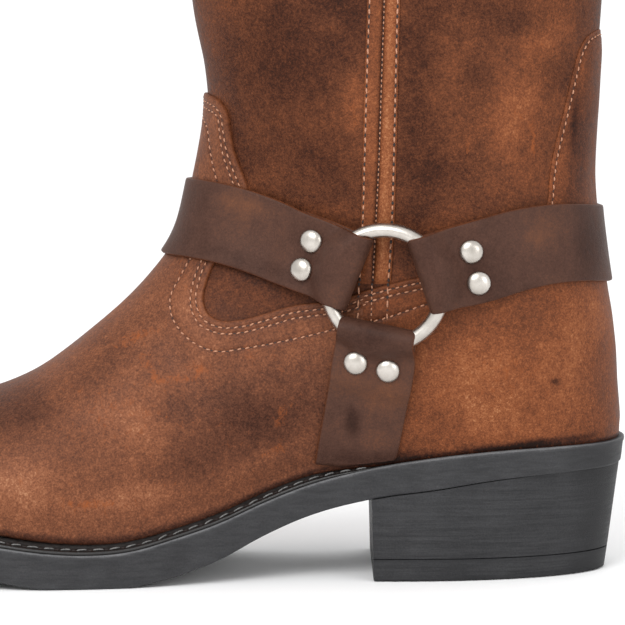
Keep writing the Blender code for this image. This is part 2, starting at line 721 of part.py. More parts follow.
def straps():
    for plan in STRAPS[:2]:
        outer_half = far_run(plan, LATERAL)
        inner_half = far_run(plan, MEDIAL)
        middle = raise_run(outer_half + inner_half[-2::-1], STRAP_LEVEL)
        run = hook_run(plan, LATERAL) + middle + hook_run(plan, MEDIAL)[::-1]
        leather_band("strap_" + plan.name, run)
    plan = STRAPS[2]
    for side, word in ((LATERAL, "lateral"), (MEDIAL, "medial")):
        run = hook_run(plan, side)
        along, across = strap_direction(plan), strap_across(plan)
        for s in (42.0, 50.0, 58.0, 64.5):
            w = plan.shift + ACROSS * STRAP_HALF
            x = RING_X + along[0] * s + across[0] * w
            z = np.maximum(RING_Z + along[1] * s + across[1] * w, feather_z(x) + STRAP_FOOT)
            run.append(flank(x, z, side, np.full(3, STRAP_LEVEL))[0])
        leather_band("strap_down_" + word, run)


def strap_face(plan, side, s, offset):
    """A point on the outer face of a lapped strap end and the normal there."""
    reach = RIVET_RADIUS
    before, here, after = (strap_mid(plan, side, s + d, FOLD_RADIUS, True) for d in (-reach, 0.0, reach))
    share = offset / STRAP_HALF
    normal = np.cross(after[1] - before[1], here[2] - here[0])
    normal /= np.linalg.norm(normal)
    outward = -1.0 if side == LATERAL else 1.0
    normal *= np.sign(normal[1]) * outward
    chord = (before[1] + after[1]) / 2
    point = here[1] + (here[2] - here[0]) / 2 * share + normal * max(0.0, np.dot(chord - here[1], normal))
    return point + normal * (STRAP_THICK / 2 + RIVET_SEAT), normal


def rivets():
    """Domed rivets, two to each lapped strap end."""
    for plan in STRAPS:
        for side, word in ((LATERAL, "lateral"), (MEDIAL, "medial")):
            for number, offset in ((1, -RIVET_HALF_SPAN), (2, RIVET_HALF_SPAN)):
                base, normal = strap_face(plan, side, plan.rivet_s, plan.rivet_shift + offset)
                rivet(f"rivet_{plan.name}_{word}_{number}", base, normal)


def rivet(name, base, normal):
    side_way = np.cross(normal, [0.0, 0.0, 1.0])
    side_way /= np.linalg.norm(side_way)
    other = np.cross(normal, side_way)
    sections = []
    for dome in DOME_RINGS:
        ring = []
        for turn in np.linspace(0.0, 2 * math.pi, DOME_SIDES, endpoint=False):
            flat = side_way * math.cos(turn) + other * math.sin(turn)
            ring.append(base + flat * RIVET_RADIUS * dome.radius + normal * RIVET_HEIGHT * dome.height)
        sections.append(ring)
    sweep(name, sections, "nickel")


def upper():
    shell("upper", LOOP_V, -WALL, 0.0, "leather")


def main():
    for thing in list(bpy.data.objects):
        bpy.data.objects.remove(thing, do_unlink=True)
    outsole()
    heel_and_lift()
    welt()
    insole()
    upper()
    foxing()
    side_seams()
    rings()
    straps()
    rivets()


main()
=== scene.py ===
"""Looks of the harness boot: fine leather, rubber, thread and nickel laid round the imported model.

Sizes are in millimetres in the boot's own frame (toe towards -X, outer side towards -Y, floor at z = 0)
and become metres once, when a mesh is made.
"""

from collections import namedtuple
import math

import bpy
import numpy as np
from mathutils.geometry import delaunay_2d_cdt
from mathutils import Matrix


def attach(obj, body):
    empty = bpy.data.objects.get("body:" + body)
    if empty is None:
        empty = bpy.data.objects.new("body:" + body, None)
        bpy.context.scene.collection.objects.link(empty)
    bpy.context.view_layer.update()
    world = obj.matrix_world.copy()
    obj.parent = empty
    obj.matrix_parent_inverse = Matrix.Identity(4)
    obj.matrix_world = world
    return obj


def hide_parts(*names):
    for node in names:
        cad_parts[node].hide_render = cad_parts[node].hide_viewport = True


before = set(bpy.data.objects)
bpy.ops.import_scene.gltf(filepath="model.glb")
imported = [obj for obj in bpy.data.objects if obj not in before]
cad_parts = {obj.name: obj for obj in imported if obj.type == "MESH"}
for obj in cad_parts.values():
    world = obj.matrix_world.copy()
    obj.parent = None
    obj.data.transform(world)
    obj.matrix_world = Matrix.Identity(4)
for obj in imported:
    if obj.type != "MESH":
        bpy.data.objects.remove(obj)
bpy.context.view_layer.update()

MM = 0.001
LATERAL, MEDIAL = 0, 1
SIDES = ((LATERAL, "lateral"), (MEDIAL, "medial"))
rng = np.random.default_rng(7)

# Sole outline, seen from above
TOE_X = -257.0
HEEL_X = 49.2
TOE_ROUND = 60.0
TOE_POWER = 2.4
HEEL_ROUND = 37.0
BREAST_X = -42.4
FEATHER_INSET = 5.5
FEATHER_INSET_HEEL = 3.5

# Wall and layers
WALL = 2.2
UPPER_SEAT = 1.2
OVERLAY_TOP = 1.65
WELT_HEIGHT = 3.0
WELT_END = -44.0
WELT_FADE_X = -34.0
WELT_FADE_RUN = 34.0
INSOLE_THICK = 3.0
LIFT_HEIGHT = 8.0

# Harness hardware
RING_X = -37.9
RING_Z = 105.7
RING_RADIUS = 20.05
RING_WIRE = 2.55
RING_STAND = 7.4
STRAP_THICK = 2.1
STRAP_SEAT = 0.05
STRAP_HALF = 14.0
STRAP_HALF_AT_RING = 13.3
STRAP_REST = OVERLAY_TOP + STRAP_SEAT + STRAP_THICK / 2
STRAP_END = 66.0
UPPER_LAY_RUN = 6.0
LOWER_LAY_START = 17.5
LOWER_LAY_RUN = 9.5
FOLD_RADIUS = RING_WIRE + 0.1 + STRAP_THICK / 2
LAP_START = 35.0
LAP_END = 40.0
LAP_GAP = 0.15
LAP_DROP_START = 33.5
LAP_DROP_RUN = 7.5
RIVET_RADIUS = 4.1
RIVET_HEIGHT = 1.9

# Fineness of the table that every piece on the upper is read from
TABLE_ROWS = 361
TABLE_TURNS = 720

# Rough length in millimetres of a whole turn and of the girdle value v, for lines drawn in those two
PLANE_SCALE = np.array([420.0, 380.0])

Outline = namedtuple("Outline", "x lateral medial")
OUTLINE = (
    Outline(-257, 37, 47),
    Outline(-216, 42.5, 50.5),
    Outline(-191, 48, 53.5),
    Outline(-166, 51, 54),
    Outline(-146, 50, 50),
    Outline(-121, 46, 42),
    Outline(-91, 39.5, 34),
    Outline(-61, 36, 33),
    Outline(-26, 36.5, 36),
    Outline(12, 37, 37),
    Outline(49.2, 37, 37),
)

SoleLine = namedtuple("SoleLine", "x top bottom")
SOLE_LINES = (
    SoleLine(-257, 26.8, 14.5),
    SoleLine(-230, 22.9, 10.8),
    SoleLine(-205, 19.3, 7.2),
    SoleLine(-173, 14.9, 2.4),
    SoleLine(-157, 12.8, 0),
    SoleLine(-144, 12, 0),
    SoleLine(-128, 12.9, 0),
    SoleLine(-112, 17, 3.3),
    SoleLine(-96, 22.2, 9),
    SoleLine(-82, 28.4, 16.4),
    SoleLine(-68, 33.9, 22.6),
    SoleLine(-42.4, 40.7, 29.6),
    SoleLine(-19, 44.5, 33),
    SoleLine(-2.5, 46.4, 35.8),
    SoleLine(14, 47.8, 38),
    SoleLine(24, 48.3, 38.9),
    SoleLine(49.2, 48.4, 39.4),
)

HeelPlan = namedtuple("HeelPlan", "z rear breast half round")
HEEL_PLANS = (
    HeelPlan(0, 42.4, BREAST_X, 33.6, 76),
    HeelPlan(40, 48, BREAST_X - 0.8, 36, 46),
)

Girdle = namedtuple("Girdle", "v front_x front_z back_x back_z")
GIRDLES = (
    Girdle(0.00, -251.5, 30.6, 45.7, 49),
    Girdle(0.05, -255.3, 38, 46, 54.5),
    Girdle(0.10, -253, 45.5, 45.7, 59.5),
    Girdle(0.15, -246, 53.2, 45.3, 64),
    Girdle(0.20, -234.9, 57.6, 44.9, 68.5),
    Girdle(0.26, -214.8, 59.1, 44.6, 73.5),
    Girdle(0.33, -189.6, 61.2, 44.2, 80),
    Girdle(0.40, -164.1, 70.4, 43.5, 86.5),
    Girdle(0.47, -140.3, 87.9, 42.6, 93.5),
    Girdle(0.54, -121.8, 105.7, 41, 102.5),
    Girdle(0.60, -111.3, 120.9, 39, 115.5),
    Girdle(0.66, -106.1, 140.2, 37.1, 131.5),
    Girdle(0.72, -101.9, 163.9, 36.5, 150),
    Girdle(0.78, -102.6, 180, 37.4, 173),
    Girdle(0.85, -107.2, 205, 39.6, 205),
    Girdle(0.92, -111, 255, 42.3, 255),
    Girdle(1.00, -114, 330, 44.5, 330),
)

Girth = namedtuple("Girth", "v foot_x foot_z low_lat low_med high_lat high_med round_from power back_round")
GIRTHS = (
    Girth(0.05, -255.3, 30.5, 39, 49, 41, 51, 0.00, 3, 36),
    Girth(0.15, -246, 29.5, 39.5, 49.5, 42, 51.5, 0.00, 2.8, 36),
    Girth(0.20, -235, 27, 40.5, 50, 43.5, 52, 0.00, 2.7, 36),
    Girth(0.26, -214, 24, 43, 50.5, 46, 52.5, 0.00, 2.5, 36),
    Girth(0.33, -188, 20.3, 44.5, 50, 47, 51.5, 0.00, 2.4, 36),
    Girth(0.40, -162, 17.5, 46.5, 49, 48.5, 50, 0.00, 2.2, 36),
    Girth(0.47, -134, 16, 43.5, 41.5, 46, 44, 0.00, 2, 36),
    Girth(0.54, -104, 22, 37.5, 32, 41.5, 39, 0.05, 1.9, 36),
    Girth(0.60, -68, 37, 33, 29.5, 39.5, 37.5, 0.12, 1.9, 36),
    Girth(0.63, -30, 43, 33.5, 33, 39.5, 38.5, 0.20, 1.9, 36.5),
    Girth(0.66, 15, 48, 34, 34, 40.5, 40, 0.30, 1.9, 38),
    Girth(0.69, 45.7, 52, 35, 35, 41.5, 41.5, 0.40, 2, 40),
    Girth(0.72, 44.6, 90, 40, 40, 43, 43, 0.45, 2, 47),
    Girth(0.75, 39.5, 122, 43.5, 43.5, 44, 44, 0.50, 2.1, 60),
    Girth(0.80, 38.2, 160, 45, 45, 45.5, 45.5, 0.50, 2.2, 68),
    Girth(0.85, 40.2, 205, 46, 46, 46, 46, 0.50, 2.2, 71),
    Girth(0.92, 42.3, 255, 47, 47, 47, 47, 0.50, 2.2, 75),
    Girth(1.00, 44.5, 330, 48.5, 48.5, 48.5, 48.5, 0.50, 2.2, 79),
)

Point = namedtuple("Point", "x z")
VAMP_EDGE = (
    Point(-101, 171), Point(-96.8, 168.9), Point(-94.3, 165.2), Point(-93.2, 159.2),
    Point(-91.8, 151.5), Point(-89.4, 145.1), Point(-87, 138.5), Point(-88.5, 129),
    Point(-94, 119.5), Point(-99.5, 111), Point(-101.9, 104.6), Point(-102.7, 98.9),
    Point(-100.6, 93.9), Point(-95.6, 91.8), Point(-89.9, 92.1), Point(-81.4, 94.3),
    Point(-70.8, 97.5), Point(-61.6, 98.9), Point(-52.4, 100.5), Point(-46, 103),
)
COUNTER_EDGE = (
    Point(-46, 103), Point(-34.9, 106.2), Point(-26.6, 108.1), Point(-12, 111),
    Point(4, 116), Point(13.5, 123), Point(17.8, 131), Point(19.6, 143.3),
    Point(22.3, 157.3), Point(25, 169.8), Point(27.7, 180.2), Point(30.4, 187.8),
    Point(33, 191.5), Point(37.5, 194),
)
VAMP_OUTER_ROW = (
    Point(-102.2, 163.5), Point(-100.5, 160), Point(-99.3, 151.9), Point(-97.9, 144.1),
    Point(-96.5, 138.8), Point(-98.5, 128), Point(-103, 119), Point(-106.3, 113.3),
    Point(-110.5, 105.8), Point(-113.8, 98.7), Point(-113.4, 93.7), Point(-109.9, 88),
    Point(-103.5, 83.4), Point(-97.1, 81.6), Point(-88.6, 82.7), Point(-74.4, 85.5),
    Point(-63.7, 88), Point(-55.9, 90.1), Point(-46.5, 92),
)
COUNTER_OUTER_ROW = (Point(-46.0, 92.2), Point(-40.8, 93.5), Point(-24.9, 99.1), Point(-8.0, 104.0))
JOINT = (Point(-46.0, 103.0), Point(-46.6, 85.0), Point(-47.6, 60.0), Point(-48.6, 50.0))

SeamRow = namedtuple("SeamRow", "z left middle right")
SEAM_ROWS = (
    SeamRow(327, -40.8, -35.6, -30.9),
    SeamRow(255, -42.7, -37.6, -33.1),
    SeamRow(204, -44.4, -39.4, -34.9),
    SeamRow(176, -45.3, -40.3, -35.5),
    SeamRow(148, -45.9, -41.1, -36),
    SeamRow(129, -46.3, -41.9, -36.4),
    SeamRow(117, -46.8, -42.5, -36.9),
    SeamRow(107, -47.5, -43, -37.5),
    SeamRow(94, -48.1, -43.4, -37.9),
)
SEAM_FOOT = 106.0
SEAM_MARGIN = 0.9

# The straps leave the ring in these side-view directions; see the harness functions
StrapPlan = namedtuple("StrapPlan", "name angle shift rivet_s rivet_shift far_top_z far_low_z bow fold skew")
STRAPS = (
    StrapPlan("front", 160.9, 1.2, 28.2, 1, 140.5, 113, 2, 14.3, -0.042),
    StrapPlan("rear", 13.9, 1, 30.6, -0.3, 131.2, 104.1, 2.6, 17.2, -0.086),
    StrapPlan("down", 259.6, 0.3, 28.2, -0.2, 0, 0, 0, 17.2, 0),
)
RIVET_HALF_SPAN = 5.6

# Soft troughs and ridges of the leather in side view: a line, how wide, how deep (minus is a ridge)
Crease = namedtuple("Crease", "x0 z0 x1 z1 width depth")
CREASES = (
    Crease(-128, 92, -96, 62, 9, 0.9),
    Crease(-150, 76, -112, 52, 12, -0.7),
    Crease(-160, 66, -130, 42, 9, 0.6),
    Crease(-104, 196, -76, 178, 9, 0.7),
    Crease(-106, 225, -70, 212, 12, -0.6),
    Crease(20, 152, 42, 138, 8, 0.8),
    Crease(4, 176, 42, 168, 12, -0.6),
    Crease(12, 84, 40, 74, 12, -0.5),
    Crease(-86, 250, -40, 244, 16, 0.6),
    Crease(-10, 262, 36, 268, 16, 0.5),
)

# Worn and rubbed places by layer: middle in side view, half length and half width, slant, amount
Mark = namedtuple("Mark", "x z length width slant amount")
MARKS = {
    "warm": (
        Mark(-131, 58, 22, 10, -8, 0.45), Mark(-110, 71, 12, 7, 10, 0.35), Mark(-168, 36, 16, 9, 0, 0.55),
        Mark(-120, 33, 22, 4.5, 8, 0.5), Mark(-84, 44, 16, 4, 18, 0.35), Mark(-107, 96, 8, 16, 20, 0.45),
        Mark(-97, 150, 5, 22, 0, 0.45), Mark(-4, 70, 20, 16, 0, 0.75), Mark(26, 72, 14, 22, 0, 0.45),
        Mark(0, 54, 26, 6, 6, 0.35), Mark(18, 190, 9, 6, 20, 0.7), Mark(8, 170, 8, 10, 30, 0.5),
        Mark(4, 160, 6, 12, 0, 0.6), Mark(-16, 176, 16, 14, 30, 0.35), Mark(-48, 163, 4, 10, 0, 0.45),
        Mark(-50, 176, 5, 7, 0, 0.35), Mark(-58, 196, 6, 3, 0, 0.4), Mark(36, 92, 10, 10, 0, 0.35),
        Mark(12, 180, 20, 34, 0, 0.35),
    ),
    "dark": (
        Mark(-92, 150, 8, 16, 0, 0.5), Mark(-92, 58, 15, 12, -12, 0.65), Mark(-106, 41, 14, 9, 12, 0.6),
        Mark(-78, 58, 13, 17, 0, 0.5), Mark(-113, 63, 9, 7, 0, 0.35), Mark(-140, 52, 9, 6, -10, 0.2),
        Mark(-168, 62, 18, 8, 0, 0.55), Mark(-140, 74, 12, 6, 35, 0.45), Mark(-66, 60, 10, 20, -10, 0.35),
        Mark(-70, 184, 16, 22, 0, 0.55), Mark(-60, 150, 12, 12, 0, 0.45), Mark(-52, 205, 8, 10, 0, 0.4),
        Mark(-28, 165, 6, 40, 0, 0.5), Mark(5, 198, 10, 8, 0, 0.55), Mark(-9, 176, 8, 8, 0, 0.45),
        Mark(-21, 146, 8, 7, 0, 0.45), Mark(30, 150, 5, 24, -8, 0.8), Mark(28, 163, 1.4, 9, -4, 0.9),
        Mark(22, 178, 5, 8, -12, 0.4), Mark(-80, 110, 26, 14, -10, 0.7), Mark(21, 71.5, 1.3, 1.1, 0, 1.6),
        Mark(6, 48.4, 13, 1.3, 4, 1.5), Mark(16, 50, 7, 1.3, 5, 1.2), Mark(31, 50.8, 8, 1.2, 3, 1.1),
        Mark(-40, 44, 16, 1.8, 6, 1.2),
    ),
    "scuff": (
        Mark(-127, 86, 10, 2, 22, 0.9), Mark(-122, 77, 6, 1.8, -50, 0.9), Mark(-113, 72, 10, 2, 0, 0.8),
        Mark(-103.6, 75.6, 3, 1.8, 0, 1.2), Mark(-86, 80, 4, 1.4, -60, 0.8), Mark(-75, 60, 5, 1.8, 75, 1),
        Mark(-77, 47.5, 5, 2, 20, 0.8), Mark(-141, 29.5, 12, 2, 0, 0.9), Mark(-134, 62, 20, 9, -10, 0.35),
        Mark(-142, 90, 10, 2, 25, 0.5), Mark(12.8, 156, 0.9, 10, 3, 1.2),
        Mark(-10.3, 153.5, 0.9, 4.5, 4, 1.1), Mark(19.6, 139, 0.9, 5, 14, 0.8), Mark(6, 164, 7, 10, 0, 0.4),
        Mark(16, 188, 10, 5, 15, 0.45), Mark(-49, 163, 3, 7, 0, 0.7), Mark(-57, 195, 5, 1.4, 0, 0.7),
        Mark(0, 74, 16, 10, 0, 0.35), Mark(-109, 104, 3, 10, 30, 0.45),
    ),
}
STRAP_MARKS = {
    "warm": (
        Mark(-38, 66, 8, 8, 0, 0.7), Mark(-52, 72, 12, 18, 0, 0.45), Mark(-44, 50, 12, 6, 0, 0.6),
        Mark(-88, 133, 14, 3, -12, 0.6), Mark(18, 124, 12, 6, 10, 0.6),
    ),
    "dark": (
        Mark(-50, 57, 2.2, 6, 0, 1.2), Mark(-46, 88, 10, 5, 0, 0.6), Mark(-44, 44, 14, 4, 0, 0.8),
        Mark(-84, 112, 18, 4, -16, 0.6), Mark(-64, 116, 6, 12, 0, 0.5), Mark(34, 118, 7, 14, 0, 0.7),
        Mark(-8, 110, 6, 10, 10, 0.4),
    ),
}

# Sewing: lengths of one stitch with its gap, and the collar's row
FOXING_PITCH = 2.85
COLLAR_PITCH = 3.2
COLLAR_V = 0.982
WELT_PITCH = 5.7

# Studio, in metres; the camera is fitted to the photograph
CAMERA_PLACE = (-0.06404, -1.0, 0.185)
CAMERA_DOWN = 5.289
CAMERA_LENS = 159.552
CAMERA_SENSOR = 36.0
WORLD_LIGHT = 1.12
FLOOR_REACH = 6.0
FLOOR_GAP = 0.0002
Lamp = namedtuple("Lamp", "name place size power")
LAMPS = (
    Lamp("key_softbox", (-0.7, -1.3, 1.2), 0.9, 22.0),
    Lamp("fill_softbox", (1.0, -1.2, 0.5), 0.8, 5.0),
)
LAMP_AIM = (-0.05, 0.0, 0.12)


class Through:
    """A smooth curve through the rows of a table, read at any value of its first column."""

    def __init__(self, rows):
        table = np.array(rows, dtype=float)
        self.at = table[:, 0]
        self.values = table[:, 1:]
        self.slopes = np.gradient(self.values, self.at, axis=0)

    def __call__(self, where):
        where = np.clip(np.asarray(where, dtype=float), self.at[0], self.at[-1])
        i = np.clip(np.searchsorted(self.at, where, side="right") - 1, 0, len(self.at) - 2)
        step = (self.at[i + 1] - self.at[i])[..., None]
        t = (where - self.at[i])[..., None] / step
        start = (1 + 2 * t) * (1 - t) ** 2 * self.values[i] + t * (1 - t) ** 2 * step * self.slopes[i]
        end = t * t * (3 - 2 * t) * self.values[i + 1] + t * t * (t - 1) * step * self.slopes[i + 1]
        return start + end


def ease(t):
    t = np.clip(t, 0.0, 1.0)
    return t * t * (3 - 2 * t)


def bell(distance, width):
    return np.exp(-(distance / width) ** 2)


def unit(vectors):
    return vectors / np.linalg.norm(vectors, axis=-1, keepdims=True)


def distances(points):
    """How far each point is from the first, along their line."""
    return np.concatenate([[0.0], np.cumsum(np.linalg.norm(np.diff(points, axis=0), axis=1))])


def read_along(at, distance, table):
    """Rows of a table at given distances, with straight lines between them."""
    return np.stack([np.interp(at, distance, column) for column in np.asarray(table).T], axis=-1)


outline_at = Through(OUTLINE)
smooth_sole = Through(SOLE_LINES)
heel_plans = np.array(HEEL_PLANS)
girdle_at = Through(GIRDLES)
girth_at = Through([(i, *row) for i, row in enumerate(GIRTHS)])
profile_v = np.linspace(0.0, 1.0, 400)
profile = girdle_at(profile_v)


def sole_lines_at(x):
    """Heights of the outsole's top edge and underside, which never dip below the floor."""
    return np.maximum(smooth_sole(x), 0.0)


def inset_at(x):
    return FEATHER_INSET_HEEL + (FEATHER_INSET - FEATHER_INSET_HEEL) * ease((-30.0 - x) / 60.0)


def toe_cap(share):
    return (1 - (1 - share) ** TOE_POWER) ** (1 / TOE_POWER)


def round_cap(share):
    return np.sqrt(1 - (1 - share) ** 2)


def outline_half(x, side, inset):
    x = np.asarray(x, dtype=float)
    toe = np.clip((x - TOE_X - inset) / (TOE_ROUND - inset), 0.0, 1.0)
    heel = np.clip((HEEL_X - inset - x) / (HEEL_ROUND - inset), 0.0, 1.0)
    return (outline_at(x)[..., side] - inset) * toe_cap(toe) * round_cap(heel)


def feather_z(x):
    return sole_lines_at(x)[..., 0] + UPPER_SEAT + WELT_HEIGHT * ease((WELT_FADE_X - x) / WELT_FADE_RUN)


def girth_of(x, z):
    """Row position of the girth section that runs through a side-view point."""
    low = np.zeros_like(x)
    high = np.full_like(x, len(GIRTHS) - 1.0)
    for _ in range(20):
        middle = (low + high) / 2
        row = girth_at(middle)
        front = girdle_at(row[..., 0])
        run_x = front[..., 0] - row[..., 1]
        run_z = front[..., 1] - row[..., 2]
        turn = run_x * (z - row[..., 2]) - run_z * (x - row[..., 1])
        low = np.where(turn < 0, middle, low)
        high = np.where(turn < 0, high, middle)
    return (low + high) / 2


def half_width(x, z, side):
    """Half width of the upper's outer surface at a side-view point."""
    x, z = np.broadcast_arrays(np.asarray(x, dtype=float), np.asarray(z, dtype=float))
    row = girth_at(girth_of(x, z))
    front = girdle_at(row[..., 0])
    run_x = front[..., 0] - row[..., 1]
    run_z = front[..., 1] - row[..., 2]
    share = ((x - row[..., 1]) * run_x + (z - row[..., 2]) * run_z) / (run_x ** 2 + run_z ** 2)
    share = np.clip(share, 0.0, 1.0)
    belly = ease(share / 0.4)
    width = row[..., 3 + side] * (1 - belly) + row[..., 5 + side] * belly
    over = np.clip((share - row[..., 7]) / (1 - row[..., 7]), 0.0, 1.0)
    front_cap = np.sqrt(1 - over ** row[..., 8])
    toe_front = np.interp(z, profile[:40, 1], profile[:40, 0])
    toe = np.clip((x - np.where(z < 38.0, toe_front, -255.3)) / (TOE_ROUND - FEATHER_INSET), 0.0, 1.0)
    back = np.clip((np.interp(z, profile[:, 3], profile[:, 2]) - x) / row[..., 9], 0.0, 1.0)
    return width * front_cap * toe_cap(toe) * round_cap(back)


def side_view(v, turn):
    """Side-view place of a point of the upper; turn runs 0..1 from the back, by the outer side."""
    ends = girdle_at(v)
    share = (1 - np.cos(2 * math.pi * turn)) / 2
    x = ends[..., 2] + (ends[..., 0] - ends[..., 2]) * share
    z = ends[..., 3] + (ends[..., 1] - ends[..., 3]) * share
    first = girdle_at(0.0)
    first_x = first[2] + (first[0] - first[2]) * share
    first_z = first[3] + (first[1] - first[3]) * share
    lift = np.clip(1 - v / 0.5, 0.0, 1.0) ** 2 * np.abs(np.sin(math.pi * share)) ** 0.2
    return x, z + (feather_z(first_x) - first_z) * lift


def upper_side(v, turn, side):
    x, z = side_view(v, turn)
    from_feather = ease(v / 0.06)
    field = half_width(x, z, side)
    feather = outline_half(x, side, inset_at(x))
    y = field * from_feather + feather * (1 - from_feather)
    return np.stack([x, y if side == MEDIAL else -y, z], axis=-1)


def crease_depth(x, z):
    """How far the leather sinks at a side-view point."""
    depth = np.zeros_like(x)
    for crease in CREASES:
        start = np.array([crease.x0, crease.z0])
        run = np.array([crease.x1, crease.z1]) - start
        share = ((x - start[0]) * run[0] + (z - start[1]) * run[1]) / np.dot(run, run)
        off = np.hypot(x - start[0] - run[0] * share, z - start[1] - run[1] * share)
        fade = ease((share + 0.35) / 0.7) * ease((1.35 - share) / 0.7)
        depth += crease.depth * bell(off, crease.width) * fade
    return depth


def normals_of(points, closed):
    """Outward normals of a grid whose rows climb and whose columns run back, outer side, front."""
    along = np.gradient(points, axis=0)
    if closed:
        around = np.roll(points, -1, axis=1) - np.roll(points, 1, axis=1)
    else:
        around = np.gradient(points, axis=1)
    normals = np.cross(around, along)
    length = np.linalg.norm(normals, axis=-1, keepdims=True)
    return normals / np.maximum(length, 1e-9)


class Skin:
    """The upper's outer surface with its soft creases, read at any turn and girdle value v."""

    def __init__(self):
        v = np.linspace(0.0, 1.0, TABLE_ROWS)[:, None]
        turn = (np.arange(TABLE_TURNS) / TABLE_TURNS)[None, :]
        middle = TABLE_TURNS // 2
        lateral = upper_side(v, turn[:, :middle + 1], LATERAL)
        medial = upper_side(v, turn[:, middle + 1:], MEDIAL)
        lateral[:, 0, 1] = lateral[:, -1, 1] = 0.0
        points = np.concatenate([lateral, medial], axis=1)
        for _ in range(4):
            points[1:-1] = (points[:-2] + 2 * points[1:-1] + points[2:]) / 4
            points = (np.roll(points, 1, axis=1) + 2 * points + np.roll(points, -1, axis=1)) / 4
        normals = normals_of(points, True)
        outward = np.sign(np.sum(normals * (points - points.mean(axis=1, keepdims=True))))
        fade = ease(np.abs(points[..., 1]) / 12.0) * 0.7 + 0.3
        points -= normals * outward * (crease_depth(points[..., 0], points[..., 2]) * fade)[..., None]
        self.points = points
        self.normals = normals_of(points, True) * outward

    def __call__(self, turn, v, height=0.0):
        row = np.clip(np.asarray(v, dtype=float), 0.0, 1.0) * (TABLE_ROWS - 1)
        column = np.mod(np.asarray(turn, dtype=float), 1.0) * TABLE_TURNS
        row, column = np.broadcast_arrays(row, column)
        i = np.minimum(row.astype(int), TABLE_ROWS - 2)
        j = column.astype(int) % TABLE_TURNS
        k = (j + 1) % TABLE_TURNS
        a = (row - i)[..., None]
        b = (column - np.floor(column))[..., None]

        def read(table):
            low = table[i, j] * (1 - b) + table[i, k] * b
            high = table[i + 1, j] * (1 - b) + table[i + 1, k] * b
            return low * (1 - a) + high * a

        normal = unit(read(self.normals))
        return read(self.points) + normal * np.asarray(height, dtype=float)[..., None], normal


skin = Skin()


def locate(x, z):
    """Turn (0..0.5) and girdle value of a side-view point."""
    x = np.asarray(x, dtype=float)
    z = np.asarray(z, dtype=float)
    low = np.zeros_like(x)
    high = np.ones_like(x)
    for _ in range(30):
        v = (low + high) / 2
        ends = girdle_at(v)
        share = np.clip((x - ends[..., 2]) / (ends[..., 0] - ends[..., 2]), 0.0, 1.0)
        turn = np.arccos(1 - 2 * share) / (2 * math.pi)
        above = side_view(v, turn)[1] > z
        high = np.where(above, v, high)
        low = np.where(above, low, v)
    return turn, v


def on_side(turn, side):
    return turn if side == LATERAL else 1.0 - turn


def spaced(points, step, distance):
    """A line's points read again at even steps of the given distances."""
    count = max(2, int(round(distance[-1] / step)) + 1)
    return read_along(np.linspace(0.0, distance[-1], count), distance, points)


def rounded(rows, step=0.5):
    """A smooth side-view line through a table's points."""
    points = np.array([(row.x, row.z) for row in rows], dtype=float)
    length = distances(points)
    curve = Through(np.column_stack([length, points]))
    return curve(np.linspace(0.0, length[-1], int(length[-1] / step)))


def weave_grid(rows, columns, close_rows=False, close_columns=False):
    """Quads of a grid of points numbered row by row."""
    i = np.arange(rows if close_rows else rows - 1)[:, None]
    j = np.arange(columns if close_columns else columns - 1)[None, :]
    i2 = (i + 1) % rows
    j2 = (j + 1) % columns
    quads = [i * columns + j, i * columns + j2, i2 * columns + j2, i2 * columns + j]
    return np.stack(np.broadcast_arrays(*quads), axis=-1).reshape(-1, 4)


def tube_faces(rows, columns, bottom=True):
    """Faces of a stack of rings with an end cap above and, if wanted, below."""
    faces = weave_grid(rows, columns, close_columns=True).tolist()
    if bottom:
        faces.append(list(range(columns))[::-1])
    faces.append(list(range((rows - 1) * columns, rows * columns)))
    return faces


def build(name, points, faces, looks, nodes=(), attributes=None, look_of=None, sharp=None):
    """Makes a piece from points in millimetres and rides it on the boot's one body."""
    mesh = bpy.data.meshes.new(name)
    points = np.asarray(points, dtype=float).reshape(-1, 3) * MM
    mesh.from_pydata(points.tolist(), [], [list(face) for face in faces])
    for look in looks if isinstance(looks, (list, tuple)) else [looks]:
        mesh.materials.append(look)
    if look_of is not None:
        mesh.polygons.foreach_set("material_index", np.asarray(look_of, dtype=np.int32))
    for key, values in (attributes or {}).items():
        layer = mesh.attributes.new(key, "FLOAT", "POINT")
        layer.data.foreach_set("value", np.asarray(values, dtype=np.float32).ravel())
    mesh.shade_smooth()
    if sharp:
        mesh.set_sharp_from_angle(angle=math.radians(sharp))
    mesh.update()
    piece = bpy.data.objects.new(name, mesh)
    bpy.context.scene.collection.objects.link(piece)
    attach(piece, "root")
    if nodes:
        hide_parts(*nodes)
    return piece


def marks_at(points, marks=MARKS):
    """Listed wear on the outer side, read as one number a layer for each point."""
    points = np.asarray(points).reshape(-1, 3)
    near = ease(-points[:, 1] / 6.0 + 0.5)
    layers = {layer: np.zeros(len(points)) for layer in MARKS}
    for layer, places in marks.items():
        for mark in places:
            slant = math.radians(mark.slant)
            dx = points[:, 0] - mark.x
            dz = points[:, 2] - mark.z
            along = (dx * math.cos(slant) + dz * math.sin(slant)) / mark.length
            across = (dz * math.cos(slant) - dx * math.sin(slant)) / mark.width
            layers[layer] += mark.amount * np.exp(-(along ** 2 + across ** 2)) * near
    return layers


